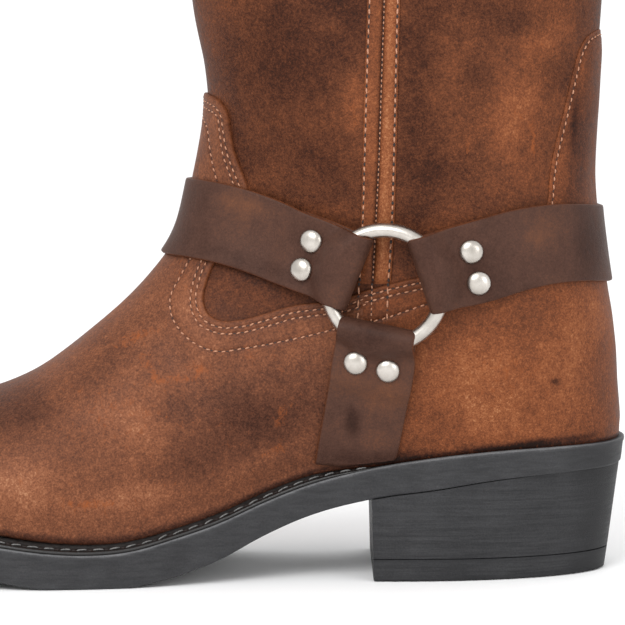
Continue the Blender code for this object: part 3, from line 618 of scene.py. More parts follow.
class Look:
    """A node material under construction."""

    def __init__(self, name):
        self.material = bpy.data.materials.new(name)
        self.material.use_nodes = True
        self.tree = self.material.node_tree
        self.shader = self.tree.nodes["Principled BSDF"]
        self.place = self.node("ShaderNodeTexCoord").outputs["Object"]

    def feed(self, socket, value):
        """Gives a socket a link, a colour or a number."""
        if isinstance(value, bpy.types.NodeSocket):
            self.tree.links.new(value, socket)
        elif isinstance(value, tuple) and socket.type == "RGBA":
            socket.default_value = (*value, 1.0)
        else:
            socket.default_value = value

    def node(self, kind, inputs=None, **settings):
        node = self.tree.nodes.new(kind)
        for key, value in settings.items():
            setattr(node, key, value)
        for key, value in (inputs or {}).items():
            self.feed(node.inputs[key], value)
        return node

    def noise(self, scale, detail=3.0, roughness=0.55, distortion=0.0, stretch=None, turn=(0.0, 0.0, 0.0)):
        place = self.place
        if stretch:
            inputs = {"Vector": place, "Scale": stretch, "Rotation": turn}
            place = self.node("ShaderNodeMapping", inputs).outputs[0]
        inputs = {"Vector": place, "Scale": scale, "Detail": detail, "Roughness": roughness,
                  "Distortion": distortion}
        return self.node("ShaderNodeTexNoise", inputs).outputs["Fac"]

    def cells(self, scale):
        return self.node("ShaderNodeTexVoronoi", {"Vector": self.place, "Scale": scale},
                         feature="DISTANCE_TO_EDGE").outputs["Distance"]

    def math(self, operation, first, second, third=0.0):
        return self.node("ShaderNodeMath", {0: first, 1: second, 2: third}, operation=operation).outputs[0]

    def attribute(self, name):
        return self.node("ShaderNodeAttribute", attribute_name=name).outputs["Fac"]

    def spread(self, value, low, high, start=0.0, end=1.0):
        inputs = {"Value": value, "From Min": low, "From Max": high, "To Min": start, "To Max": end}
        return self.node("ShaderNodeMapRange", inputs).outputs[0]

    def ramp(self, value, stops):
        ramp = self.node("ShaderNodeValToRGB", {"Fac": value})
        elements = ramp.color_ramp.elements
        while len(elements) < len(stops):
            elements.new(0.5)
        for element, (at, colour) in zip(elements, stops):
            element.position = at
            element.color = (*colour, 1.0)
        return ramp.outputs["Color"]

    def mix(self, share, first, second):
        node = self.node("ShaderNodeMix", data_type="RGBA")
        colours = [socket for socket in node.inputs if socket.type == "RGBA"]
        for socket, value in ((node.inputs[0], share), (colours[0], first), (colours[1], second)):
            self.feed(socket, value)
        return [socket for socket in node.outputs if socket.type == "RGBA"][0]

    def finish(self, colour, roughness, height=None, bump=0.3, depth=0.0003, **constants):
        self.feed(self.shader.inputs["Base Color"], colour)
        self.feed(self.shader.inputs["Roughness"], roughness)
        for key, value in constants.items():
            self.shader.inputs[key.replace("_", " ")].default_value = value
        if height is not None:
            bumped = self.node("ShaderNodeBump", {"Height": height, "Strength": bump, "Distance": depth})
            self.tree.links.new(bumped.outputs["Normal"], self.shader.inputs["Normal"])
        return self.material


def srgb(red, green, blue, light=1.0):
    """Linear colour of an eight-bit one, as seen under a light of the given strength."""
    channels = []
    for value in (red, green, blue):
        value /= 255.0
        linear = value / 12.92 if value <= 0.04045 else ((value + 0.055) / 1.055) ** 2.4
        channels.append(linear / light)
    return tuple(channels)


KEY = 1.95


def leather_look(name, stops, level, large=0.42, medium=0.55, fine=0.9, edge=None, roughness=(0.45, 0.62),
                 fleck=(0.60, 0.80)):
    """Oiled, rubbed leather: cloudy tone, fine speckle, orange where it is scuffed, dark where oiled and
    where painted shade lies along stitch rows, seam grooves and the foot of panels.
    """
    look = Look(name)
    cloud = look.noise(24.0, 3.0, 0.5, 0.3)
    patch = look.noise(110.0, 6.0, 0.7, 0.6)
    speck = look.noise(1500.0, 3.0, 0.75)
    grain = look.noise(620.0, 5.0, 0.75)
    tone = look.math("MULTIPLY_ADD", cloud, large, level - large / 2 - medium / 2 - fine / 2 - fine * 0.35)
    tone = look.math("MULTIPLY_ADD", patch, medium, tone)
    tone = look.math("MULTIPLY_ADD", speck, fine, tone)
    tone = look.math("MULTIPLY_ADD", grain, fine * 0.7, tone)
    tone = look.math("MULTIPLY_ADD", look.attribute("warm"), 0.30, tone)
    # dark holds oiled marks and painted shade from the panels and seam strips.
    tone = look.math("MULTIPLY_ADD", look.attribute("dark"), -0.34, tone)
    colour = look.ramp(tone, [(at, srgb(*shade, KEY)) for at, shade in stops])
    flecks = look.noise(520.0, 5.0, 0.8, 0.5, stretch=(1.0, 1.0, 0.6), turn=(0.0, 0.6, 0.0))
    rubbed = look.math("MULTIPLY_ADD", look.attribute("scuff"), 0.22, flecks)
    share = look.spread(rubbed, *fleck, 0.0, 0.8)
    colour = look.mix(share, colour, srgb(178, 96, 48, KEY))
    if edge:
        fibre = look.ramp(look.noise(700.0, 3.0, 0.7), [(0.3, edge[0]), (0.7, edge[1])])
        colour = look.mix(look.attribute("edge"), colour, fibre)
    pores = look.cells(1500.0)
    height = look.math("MULTIPLY_ADD", pores, 0.35, look.math("MULTIPLY", grain, 0.9))
    height = look.math("MULTIPLY_ADD", patch, 0.8, height)
    shine = look.spread(patch, 0.3, 0.7, roughness[0], roughness[1])
    return look.finish(colour, shine, height, bump=0.35, depth=0.0004, Specular_IOR_Level=0.10)


BOOT_STOPS = [(0.00, (34, 17, 10)), (0.25, (76, 42, 28)), (0.48, (110, 66, 46)),
              (0.68, (143, 87, 59)), (0.85, (172, 109, 76)), (1.00, (204, 146, 108))]
STRAP_STOPS = [(0.00, (36, 20, 14)), (0.30, (72, 45, 35)), (0.55, (96, 65, 53)),
               (0.80, (124, 80, 58)), (1.00, (156, 100, 66))]
OILED_STOPS = [(0.00, (34, 15, 7)), (0.25, (76, 38, 21)), (0.48, (112, 63, 38)),
               (0.68, (145, 82, 49)), (0.85, (174, 104, 64)), (1.00, (206, 142, 98))]
RAW_EDGE = (srgb(92, 48, 28, KEY), srgb(150, 86, 50, KEY))

vamp_leather = leather_look("vamp_leather", BOOT_STOPS, 0.62, large=0.36, medium=0.46, edge=RAW_EDGE)
counter_leather = leather_look("counter_leather", OILED_STOPS, 0.57, large=0.38, medium=0.48, edge=RAW_EDGE)
shaft_leather = leather_look("shaft_leather", OILED_STOPS, 0.44, edge=RAW_EDGE, fleck=(0.64, 0.84))
seam_leather = leather_look("seam_leather", OILED_STOPS, 0.69, large=0.2, medium=0.3, edge=RAW_EDGE)
strap_leather = leather_look("strap_leather_worn", STRAP_STOPS, 0.50, large=0.5, medium=0.4, fine=0.5,
                             edge=RAW_EDGE, roughness=(0.40, 0.56), fleck=(0.72, 0.92))


def lining_look():
    look = Look("lining")
    cloud = look.noise(40.0, 4.0, 0.6, 0.3)
    grain = look.noise(900.0, 3.0, 0.65)
    tone = look.math("MULTIPLY_ADD", grain, 0.3, look.math("MULTIPLY", cloud, 0.7))
    colour = look.ramp(tone, [(0.3, srgb(150, 106, 72, KEY)), (0.7, srgb(196, 156, 116, KEY))])
    return look.finish(colour, look.spread(cloud, 0.3, 0.7, 0.6, 0.75), grain, bump=0.3, depth=0.0004)


def rubber_look(name, stops, stretch, bump=0.4, roughness=(0.42, 0.62)):
    """Buffed rubber with fine sanding lines that run round it."""
    look = Look(name)
    lines = look.noise(900.0, 5.0, 0.75, 0.1, stretch=stretch)
    cloud = look.noise(60.0, 4.0, 0.6)
    speck = look.noise(1700.0, 2.0, 0.7)
    tone = look.math("MULTIPLY_ADD", lines, 0.50, look.math("MULTIPLY", cloud, 0.22))
    tone = look.math("MULTIPLY_ADD", speck, 0.28, tone)
    # pale paints highlight on rounded edges; line darkens joints and paints shade at the back, by the floor
    # and under the welt.
    tone = look.math("MULTIPLY_ADD", look.attribute("pale"), 0.5, tone)
    tone = look.math("MULTIPLY_ADD", look.attribute("line"), -0.5, tone)
    colour = look.ramp(tone, [(at, srgb(*shade, KEY)) for at, shade in stops])
    height = look.math("MULTIPLY_ADD", lines, 1.0, look.math("MULTIPLY", speck, 0.3))
    return look.finish(colour, look.spread(lines, 0.3, 0.7, *roughness), height, bump=bump, depth=0.0003,
                       Specular_IOR_Level=0.18)


RUBBER_STOPS = [(0.25, (35, 35, 37)), (0.45, (56, 56, 58)), (0.62, (76, 76, 78)),
                (0.95, (124, 124, 127))]
SOLE_STOPS = [(0.25, (44, 44, 46)), (0.45, (63, 63, 65)), (0.62, (79, 79, 81)),
              (0.95, (140, 140, 142))]
heel_rubber = rubber_look("heel_rubber", RUBBER_STOPS, (0.05, 0.05, 1.0), bump=0.5)
sole_rubber = rubber_look("sole_rubber", SOLE_STOPS, (0.12, 0.12, 0.8), bump=0.25)


def plain_look(name, dark, light, scale, roughness, bump=0.25, depth=0.0002):
    """Two close shades of one colour in fine noise, for small pieces."""
    look = Look(name)
    grain = look.noise(scale, 3.0, 0.6)
    colour = look.ramp(grain, [(0.3, srgb(*dark, KEY)), (0.7, srgb(*light, KEY))])
    shine = look.spread(grain, 0.3, 0.7, *roughness)
    return look.finish(colour, shine, grain, bump=bump, depth=depth)


welt_rubber = plain_look("welt_black", (12, 9, 8), (30, 26, 24), 900.0, (0.32, 0.5), bump=0.5)
welt_thread = plain_look("welt_thread", (70, 69, 68), (150, 148, 146), 1300.0, (0.35, 0.6))
seam_thread = plain_look("seam_thread", (192, 120, 84), (240, 180, 142), 2500.0, (0.5, 0.7))
# Needle holes are drawn as dark discs: this colour is painted shade.
hole_shade_look = plain_look("needle_hole", (22, 9, 5), (40, 17, 10), 1500.0, (0.6, 0.8))
insole_leather = plain_look("insole_tan", (160, 116, 78), (196, 150, 108), 300.0, (0.6, 0.75))


def nickel_look():
    look = Look("satin_nickel")
    brush = look.noise(900.0, 4.0, 0.7, stretch=(1.0, 1.0, 0.3))
    cloud = look.noise(160.0, 3.0, 0.6)
    colour = look.ramp(cloud, [(0.3, srgb(170, 164, 156)), (0.7, srgb(196, 190, 183))])
    shine = look.spread(brush, 0.3, 0.7, 0.26, 0.38)
    return look.finish(colour, shine, brush, bump=0.12, depth=0.0001, Metallic=1.0)


nickel = nickel_look()


COLLAR_RIM = ((-0.15, 0.35), (-0.6, 0.65), (-1.1, 0.72), (-1.6, 0.65), (-2.05, 0.35))


def upper():
    """Outer leather, rolled raw rim and lining as one closed wall."""
    rows, columns = 170, 288
    v = np.linspace(0.0, 1.0, rows)[:, None]
    turn = (np.arange(columns) / columns)[None, :]
    out, _ = skin(turn, v)
    within, _ = skin(turn, v[::3], -WALL)
    rim = np.array([skin(turn[0], 1.0, height)[0] + (0.0, 0.0, rise) for height, rise in COLLAR_RIM])
    grid = np.concatenate([out, rim, within[::-1]])
    faces = weave_grid(len(grid), columns, close_rows=True, close_columns=True)
    inner = np.arange(len(faces)) // columns >= rows + len(rim) - 1
    edge = np.zeros(grid.shape[:2])
    edge[rows:rows + len(rim)] = 1.0
    attributes = marks_at(grid)
    attributes["edge"] = edge
    build("shaft_and_lining", grid, faces, [shaft_leather, lining_look()], ("upper",), attributes,
          look_of=inner.astype(int))


def inside_loop(points, loop):
    """Which points lie inside a closed loop, by crossings to the right."""
    inside = np.zeros(len(points), dtype=bool)
    for (x0, y0), (x1, y1) in zip(loop, np.roll(loop, -1, axis=0)):
        if y0 == y1:
            continue
        spans = (points[:, 1] > min(y0, y1)) & (points[:, 1] <= max(y0, y1))
        crossing = x0 + (points[:, 1] - y0) * (x1 - x0) / (y1 - y0)
        inside ^= spans & (points[:, 0] < crossing)
    return inside


def nearest(points, others):
    """Distance from each point to the closest of some others."""
    best = np.full(len(points), np.inf)
    for start in range(0, len(others), 200):
        gap = points[:, None, :] - others[None, start:start + 200, :]
        best = np.minimum(best, np.sqrt((gap ** 2).sum(axis=-1)).min(axis=1))
    return best


def shifted(line, distance):
    """A turn-and-v line moved sideways over the skin, to the left of its run, by millimetres."""
    ahead = np.gradient(line, axis=0)
    small = 0.002
    turn, v = line[:, 0], line[:, 1]
    by_turn = (skin(turn + small, v)[0] - skin(turn - small, v)[0]) / (2 * small)
    by_v = (skin(turn, np.minimum(v + small, 1.0))[0] - skin(turn, np.maximum(v - small, 0.0))[0]) / (
        np.minimum(v + small, 1.0) - np.maximum(v - small, 0.0))[:, None]
    run = by_turn * ahead[:, :1] + by_v * ahead[:, 1:]
    run /= np.maximum(np.linalg.norm(run, axis=1, keepdims=True), 1e-9)
    normal = skin(turn, v)[1]
    aside = np.cross(normal, run)
    left = by_turn * -ahead[:, 1:] + by_v * ahead[:, :1]
    aside *= np.sign(np.sum(aside * left, axis=1))[:, None]
    moved = np.empty_like(line)
    for i in range(len(line)):
        basis = np.stack([by_turn[i], by_v[i]], axis=1)
        moved[i] = line[i] + np.linalg.lstsq(basis, aside[i] * distance, rcond=None)[0]
    return moved


def line_on(rows, side, step=0.5):
    """A table's side-view line as turn and v, on one side of the boot."""
    points = rounded(rows, step)
    turn, v = locate(points[:, 0], points[:, 1])
    return np.stack([on_side(turn, side), v], axis=-1)


def even(line, step):
    """A turn-and-v line resampled at even steps over the skin, in millimetres."""
    flat = line * PLANE_SCALE
    fine = spaced(flat, 0.4, distances(flat)) / PLANE_SCALE
    return spaced(fine, step, distances(skin(*fine.T)[0]))


PANEL_TURN_STEP = 1 / 300.0
PANEL_V_STEP = 0.0042
ROW_WIDTH = 0.55
ROW_DEPTH = 0.28
NO_FLUSH = 500.0
COUNTER_FLUSH = 120.0
FLUSH_RUN = 8.0


RIM_PROFILE = ((0.26, 0.92), (0.46, 0.70), (0.52, 0.40), (0.50, 0.0), (0.40, -0.25))


def filled(loop, cut_edge, seams):
    """Points and triangles inside a loop: even in the middle, closer by its cut edge and its seams.

    The last result gives the number of the point at each of the loop's corners.
    """
    places = skin(*loop.T)[0]
    low, high = loop.min(axis=0), loop.max(axis=0)
    grid = np.stack(np.meshgrid(np.arange(low[0], high[0], PANEL_TURN_STEP),
                                np.arange(low[1], high[1], PANEL_V_STEP)), axis=-1).reshape(-1, 2)
    grid[:, 0] += (np.round(grid[:, 1] / PANEL_V_STEP).astype(int) % 2) * PANEL_TURN_STEP / 2
    grid = grid[inside_loop(grid * PLANE_SCALE, loop * PLANE_SCALE)]
    close = [shifted(loop[cut_edge], off) for off in (0.45, 1.0)]
    close += [shifted(seam, off) for seam in seams for off in (-1.1, -ROW_WIDTH, 0.0, ROW_WIDTH, 1.1)]
    close = np.concatenate(close)
    close = close[inside_loop(close * PLANE_SCALE, loop * PLANE_SCALE)]
    close = close[nearest(skin(*close.T)[0], places) > 0.38]
    grid_places = skin(*grid.T)[0]
    clear = (nearest(grid_places, places) > 0.8) & (nearest(grid_places, skin(*close.T)[0]) > 0.6)
    spots = np.concatenate([loop, close, grid[clear]])
    count = len(loop)
    rim = [(i, (i + 1) % count) for i in range(count)]
    made = delaunay_2d_cdt((spots * PLANE_SCALE).tolist(), rim, [], 1, 1e-5)
    flat = np.array([tuple(point) for point in made[0]]) / PLANE_SCALE
    number = {old: new for new, olds in enumerate(made[3]) for old in olds}
    return flat, [tuple(face) for face in made[2]], [number[i] for i in range(count)]


def rim_rings(loop, cut_edge, top, normals, height):
    """Rings of points that lead a panel's rim outwards and down to the skin."""
    places, up = skin(*loop.T)
    outward = np.cross(unit(np.roll(places, -1, axis=0) - np.roll(places, 1, axis=0)), up)
    step = unit((np.roll(loop, -1, axis=0) - np.roll(loop, 1, axis=0)) * PLANE_SCALE)
    probe = loop + np.stack([step[:, 1], -step[:, 0]], axis=1) / PLANE_SCALE * 0.5
    outward *= np.sign(np.sum((skin(*probe.T)[0] - places) * outward))
    reach = np.where(loop[:, 1] < 0.002, 3.0, np.where(cut_edge, 1.0, 0.3))[:, None]
    return [top + outward * out * reach + normals * height[:, None] * (share - 1.0)
            for out, share in RIM_PROFILE]


def panel(name, look, loop, cut_edge, rows, nodes, flush_above=NO_FLUSH):
    """A leather panel on the skin: loop is its outline (turn, v), counter-clockwise in that plane.

    cut_edge marks the loop's points that lie on its visible cut edge, and rows are its stitch lines.
    """
    places = skin(*loop.T)[0]
    seams = [even(row, 0.9) for row in rows]
    flat, faces, corners = filled(loop, cut_edge, seams)
    here = skin(*flat.T)[0]
    off_edge = nearest(here, places[cut_edge])
    off_row = nearest(here, skin(*np.concatenate(seams).T)[0])
    flush = ease((here[:, 2] - flush_above) / FLUSH_RUN)
    height = OVERLAY_TOP - 0.30 * bell(off_edge, 0.7) - flush * bell(off_edge, 5.0)
    height -= ROW_DEPTH * bell(off_row, ROW_WIDTH) - 0.10 * bell(off_row - 1.1, 0.6)
    points, normals = skin(*flat.T, height)
    rings = rim_rings(loop, cut_edge, points[corners], normals[corners], height[corners])
    all_points = np.concatenate([points] + rings)
    start = len(points)
    levels = np.concatenate([corners, np.arange(start, len(all_points))]).reshape(-1, len(loop))
    for above, below in zip(levels[:-1], levels[1:]):
        faces += np.stack([above, below, np.roll(below, -1), np.roll(above, -1)], axis=-1).tolist()
    attributes = marks_at(all_points)
    edge = np.zeros(len(all_points))
    edge[start:] = np.tile(np.where(cut_edge & (places[:, 2] < flush_above), 0.8, 0.0), len(rings))
    edge[:start] = 0.35 * bell(off_edge, 0.35) * (1 - flush)
    attributes["edge"] = edge
    low_edge = np.concatenate([flat[:, 1], np.tile(loop[:, 1], len(rings))])
    # Painted shade along the panel's foot, where it tucks down to the welt.
    attributes["dark"] += 1.1 * bell(low_edge, 0.006)
    # Painted shade along the sunken stitch rows.
    attributes["dark"][:start] += 0.35 * bell(off_row, 0.7)
    build(name, all_points, faces, look, nodes, attributes)


def mirrored(line):
    return np.stack([1.0 - line[::-1, 0], line[::-1, 1]], axis=-1)


def foxing():
    """Vamp and counter, cut along the lines of the photograph, with their sewing."""
    edge = even(line_on(VAMP_EDGE, LATERAL), 0.9)
    top = np.linspace((0.5, edge[0, 1]), edge[0], 10)[:-1]
    top[:, 1] += 0.001 * np.cos(np.linspace(0.0, math.pi, 9)) + 0.001
    edge = np.concatenate([top, edge])
    joint = even(line_on(JOINT, LATERAL), 1.2)
    foot = np.array([joint[-1, 0], 0.0])
    drop = np.linspace(joint[-1], foot, 10)[1:]
    half = np.concatenate([edge, joint[1:], drop])
    low = even(np.array([foot, (0.5, 0.0)]), 1.3)
    half = np.concatenate([half, low[1:]])
    cut = np.zeros(len(half), dtype=bool)
    cut[:len(edge)] = True
    loop = np.concatenate([half, mirrored(half)[1:-1]])
    cut = np.concatenate([cut, cut[::-1][1:-1]])
    whole = np.concatenate([mirrored(edge), edge[1:]])
    outer = line_on(VAMP_OUTER_ROW, LATERAL)
    outer = np.concatenate([np.linspace((0.5, outer[0, 1]), outer[0], 8)[:-1], outer])
    rows = [shifted(whole, 2.1), shifted(whole, 4.2), np.concatenate([mirrored(outer), outer[1:]])]
    panel("vamp_panel", vamp_leather, loop, cut, rows, ("vamp",))

    edge = even(line_on(COUNTER_EDGE, LATERAL), 0.9)
    edge = np.concatenate([edge, np.linspace(edge[-1], (0.0, edge[-1, 1]), 14)[1:]])
    joint = even(line_on(JOINT, LATERAL), 1.2)
    joint[:, 0] += 0.0016
    edge[0] = joint[0]
    foot = np.array([joint[-1, 0], 0.0])
    drop = np.linspace(joint[-1], foot, 10)[1:]
    low = even(np.array([(0.0, 0.0), foot]), 1.3)
    half = np.concatenate([low, drop[::-1][1:], joint[::-1][:-1], edge])
    cut = np.zeros(len(half), dtype=bool)
    cut[-len(edge):] = True

    def across(line):
        return np.stack([-line[::-1, 0], line[::-1, 1]], axis=-1)

    loop = np.concatenate([half, across(half)[1:-1]])
    cut = np.concatenate([cut, cut[::-1][1:-1]])
    whole = np.concatenate([edge, across(edge)[1:]])
    near_row = shifted(whole, 1.3)
    second = shifted(edge[:int(len(edge) * 0.42)], 3.6)
    outer = line_on(COUNTER_OUTER_ROW, LATERAL)
    counter_rows = [near_row, second, across(second), outer, across(outer)]
    panel("counter_panel", counter_leather, loop, cut, counter_rows, ("counter",), COUNTER_FLUSH)
    return rows, counter_rows


def stitch_form(sides=6):
    """One stitch lying along X with its ends bent down, from -0.5 to 0.5, and its faces."""
    points = []
    for at, radius, drop in ((-0.5, 0.35, 1.1), (-0.38, 0.85, 0.35), (-0.15, 1.0, 0.0), (0.15, 1.0, 0.0),
                             (0.38, 0.85, 0.35), (0.5, 0.35, 1.1)):
        for turn in np.arange(sides) * 2 * math.pi / sides:
            points.append((at, radius * math.cos(turn), radius * math.sin(turn) - drop))
    return np.array(points), tube_faces(6, sides)


def hole_shade_form(sides=8):
    """A shallow needle hole's painted shade, drawn as a low rounded dark disc."""
    points = []
    for radius, rise in ((1.0, -0.6), (0.85, 0.6), (0.45, 1.0)):
        for turn in np.arange(sides) * 2 * math.pi / sides:
            points.append((radius * math.cos(turn), radius * math.sin(turn), rise))
    return np.array(points), tube_faces(3, sides, bottom=False)


def scattered(form, places, runs, normals, size, slant):
    """Copies of a small form at many places, as one set of points and faces."""
    template, faces = form
    runs = unit(runs - normals * np.sum(runs * normals, axis=1, keepdims=True))
    across = np.cross(normals, runs)
    slant = np.radians(slant)[:, None]
    ahead = runs * np.cos(slant) + across * np.sin(slant)
    aside = np.cross(normals, ahead)
    local = template[None] * size[:, None, :]
    points = (places[:, None] + ahead[:, None] * local[..., :1] + aside[:, None] * local[..., 1:2]
              + normals[:, None] * local[..., 2:])
    count = len(template)
    all_faces = [[corner + i * count for corner in face] for i in range(len(places)) for face in faces]
    return points.reshape(-1, 3), all_faces


HOLE_RISE = 0.07


class Sewing:
    """Gathers stitches and the dark discs of painted shade at each needle hole, and builds one piece of each.
    """

    def __init__(self):
        self.threads = []
        self.holes = []

    def row(self, places, normals, pitch, thread=0.29, hole=(0.54, 0.42), slant=9.0, cover=0.55):
        length = distances(places)
        count = max(1, int(length[-1] / pitch))
        pitch = length[-1] / count
        runs = np.gradient(places, axis=0) / np.maximum(np.gradient(length)[:, None], 1e-6)

        def read(at):
            spot, run, up = (read_along(at, length, table) for table in (places, runs, normals))
            return spot, run, unit(up)

        at, run, up = read((np.arange(count) + 0.5) * pitch)
        wobble = rng.normal(0.0, 1.0, (count, 3))
        size = np.stack([pitch * (cover + 0.03 * wobble[:, 0]), thread * (1 + 0.06 * wobble[:, 1]),
                         thread * np.ones(count)], axis=1)
        self.threads.append(scattered(stitch_form(), at + up * thread * 0.55, run, up, size,
                                      slant + 4.0 * wobble[:, 2]))
        # Dark discs of painted shade where the needle goes through.
        at, run, up = read(np.arange(count + 1) * pitch)
        size = np.tile((*hole, HOLE_RISE), (count + 1, 1))
        self.holes.append(scattered(hole_shade_form(), at, run, up, size, np.zeros(count + 1)))

    def build(self, name, thread_look, slot):
        for word, parts, look in (("thread", self.threads, thread_look), ("holes", self.holes, hole_shade_look)):
            points, faces, start = [], [], 0
            for some_points, some_faces in parts:
                points.append(some_points)
                faces += [[corner + start for corner in face] for face in some_faces]
                start += len(some_points)
            build(f"{name}_{word}", np.concatenate(points), faces, look)


def sew_foxing(sewing, vamp_rows, counter_rows):
    for rows, flush_above in ((vamp_rows, NO_FLUSH), (counter_rows, COUNTER_FLUSH)):
        for row in rows:
            fine = even(row, 0.4)
            flush = ease((skin(*fine.T)[0][:, 2] - flush_above) / FLUSH_RUN)
            places, normals = skin(*fine.T, OVERLAY_TOP - ROW_DEPTH - 0.93 * flush)
            sewing.row(places, normals, FOXING_PITCH)


SEAM_PROFILE = ((-1.0, 0.0), (-0.985, 0.45), (-0.94, 0.72), (-0.86, 0.66), (-0.76, 0.80), (-0.62, 0.95),
                (-0.42, 1.05), (-0.26, 1.0), (-0.14, 0.66), (-0.07, 0.14), (0.02, 0.12), (0.07, 0.60),
                (0.18, 1.2), (0.38, 1.5), (0.56, 1.3), (0.72, 0.92), (0.80, 0.70), (0.90, 0.72),
                (0.96, 0.66), (0.99, 0.42), (1.0, 0.0))


SeamStitch = namedtuple("SeamStitch", "column pitch lift thread hole")
SEAM_STITCHES = (
    SeamStitch(0, 3.38, 0.79, 0.33, (0.66, 0.46)),
    SeamStitch(1, 1.8, 0.2, 0.26, (0.4, 0.38)),
    SeamStitch(2, 3.38, 0.85, 0.33, (0.66, 0.46)),
)
SEAM_STITCH_END = 92.0


def side_seams(sewing):
    """The sewn strip down each side, with its middle groove and three rows of stitches."""
    lines = Through([(-row.z, row.left, row.middle, row.right) for row in SEAM_ROWS])
    profile_table = np.array(SEAM_PROFILE)
    heights = np.linspace(SEAM_ROWS[0].z, SEAM_FOOT, 170)
    left, middle, right = lines(-heights).T
    for side, word in SIDES:
        share = profile_table[:, 0][None, :]
        low = (left - SEAM_MARGIN)[:, None]
        high = (right + SEAM_MARGIN)[:, None]
        centre = middle[:, None]
        x = np.where(share < 0, centre + (centre - low) * share, centre + (high - centre) * share)
        z = np.repeat(heights[:, None], len(profile_table), axis=1)
        turn, v = locate(x, z)
        height = profile_table[:, 1][None, :] + 0.05 + 0 * x
        foot = ease((z - SEAM_FOOT) / 3.0)
        height = height * foot + 0.05
        points, _ = skin(on_side(turn, side), v, height)
        if side == MEDIAL:
            points = points[:, ::-1]
        edge = np.where(np.abs(share) > 0.97, 0.8, 0.0) + 0 * x
        attributes = marks_at(points)
        # Painted shade in the middle groove and by the outer rows, painted shade over the left half and a
        # painted highlight on the right half's ridge.
        groove = 1.5 * bell(share + 0.03, 0.09) + 0.25 * bell(np.abs(share) - 0.86, 0.07) + 0 * x
        groove = groove + 0.12 * ease(-share / 0.2) - 0.4 * bell(share - 0.45, 0.3)
        if side == MEDIAL:
            groove = groove[:, ::-1]
        attributes["dark"] += groove.ravel()
        attributes["edge"] = edge[:, ::-1] if side == MEDIAL else edge
        build(f"side_seam_strip_{word}", points, weave_grid(*points.shape[:2]), seam_leather,
              (f"side_seam_{word}",), attributes)
        for stitch in SEAM_STITCHES:
            for top, bottom, stand in ((SEAM_ROWS[0].z, SEAM_FOOT + 1.0, stitch.lift),
                                       (SEAM_FOOT, SEAM_STITCH_END, OVERLAY_TOP - 0.05)):
                z = np.arange(top, bottom, -0.5)
                turn, v = locate(lines(-z)[:, stitch.column], z)
                places, normals = skin(on_side(turn, side), v, stand)
                sewing.row(places, normals, stitch.pitch, stitch.thread, stitch.hole, slant=3.0, cover=0.56)


def collar_row(sewing):
    places, normals = skin(np.linspace(0.0, 1.0, 900), COLLAR_V)
    sewing.row(places, normals, COLLAR_PITCH)


def ring_frame(side):
    """Centre, across-the-boot X and Z directions and outward normal of a ring's plane."""
    turn, v = locate(RING_X, RING_Z)
    centre, normal = skin(on_side(turn, side), v, RING_STAND)
    fore = unit(np.array([1.0, 0.0, 0.0]) - normal * normal[0])
    up = np.array([0.0, 0.0, 1.0]) - normal * normal[2]
    return centre, fore, unit(up - fore * np.dot(up, fore)), normal


def rings():
    for side, word in SIDES:
        centre, fore, up, normal = ring_frame(side)
        turn = np.linspace(0.0, 2 * math.pi, 120, endpoint=False)[:, None, None]
        bend = np.linspace(0.0, 2 * math.pi, 24, endpoint=False)[None, :, None]
        out = fore * np.cos(turn) + up * np.sin(turn)
        points = centre + out * (RING_RADIUS + RING_WIRE * np.cos(bend)) + normal * RING_WIRE * np.sin(bend)
        faces = weave_grid(120, 24, True, True)
        if side == MEDIAL:
            faces = faces[:, ::-1]
        build(f"harness_ring_{word}", points, faces, nickel, (f"ring_{word}",))


def strap_point(plan, s, w):
    """Side-view place at distance s from the ring's centre and w across the strap."""
    angle = math.radians(plan.angle)
    along = np.array([math.cos(angle), math.sin(angle)])
    across = np.array([-along[1], along[0]])
    if plan.name != "down" and across[1] < 0:
        across = -across
    return RING_X + along[0] * s + across[0] * w, RING_Z + along[1] * s + across[1] * w


def strap_mid(plan, side, s, w, level, upper_layer):
    """Middle of the leather at distance s from the ring's centre and w across, in millimetres."""
    x, z = strap_point(plan, s, w)
    centre, fore, up, normal = ring_frame(side)
    flat = centre + fore * (x - RING_X)[:, None] + up * (z - RING_Z)[:, None] + normal * level
    rest = STRAP_REST
    if upper_layer:
        rest += (STRAP_THICK + LAP_GAP) * (1 - float(ease((np.mean(s) - LAP_DROP_START) / LAP_DROP_RUN)))
    turn, v = locate(x, z)
    lying, _ = skin(on_side(turn, side), v, rest)
    wire_s = np.sqrt(RING_RADIUS ** 2 - np.minimum(np.abs(w), 15.0) ** 2)
    start = np.maximum(wire_s + 0.5, plan.fold + 0.3) if upper_layer else np.full(len(x), LOWER_LAY_START)
    share = ease((s - start) / (UPPER_LAY_RUN if upper_layer else LOWER_LAY_RUN))[:, None]
    return flat * (1 - share) + lying * share


def half_at(s):
    return STRAP_HALF_AT_RING + (STRAP_HALF - STRAP_HALF_AT_RING) * float(ease((s - 14.0) / 14.0))


EDGE_BULGE = 0.18
EDGE_EASE = 0.8
ACROSS = np.sin(np.linspace(-math.pi / 2, math.pi / 2, 19))


def hook_run(plan, side):
    """Leather from its hidden lower end, round the ring's wire and back over to the rivets."""
    run = []

    def add(s, level, upper_layer):
        w = plan.shift + ACROSS * half_at(s)
        skew = plan.skew * w * (1 - float(ease((s - plan.fold) / 14.0)))
        run.append(strap_mid(plan, side, s + skew, w, level, upper_layer))

    for s in np.linspace(LAP_START, plan.fold + 1.4, 10):
        add(s, -FOLD_RADIUS, False)
    for bend in np.linspace(-90.0, 90.0, 15):
        turn = math.radians(bend)
        add(plan.fold - FOLD_RADIUS * math.cos(turn), FOLD_RADIUS * math.sin(turn), False)
    for s in np.linspace(plan.fold + 1.0, LAP_END, 20):
        add(s, FOLD_RADIUS, True)
    return run


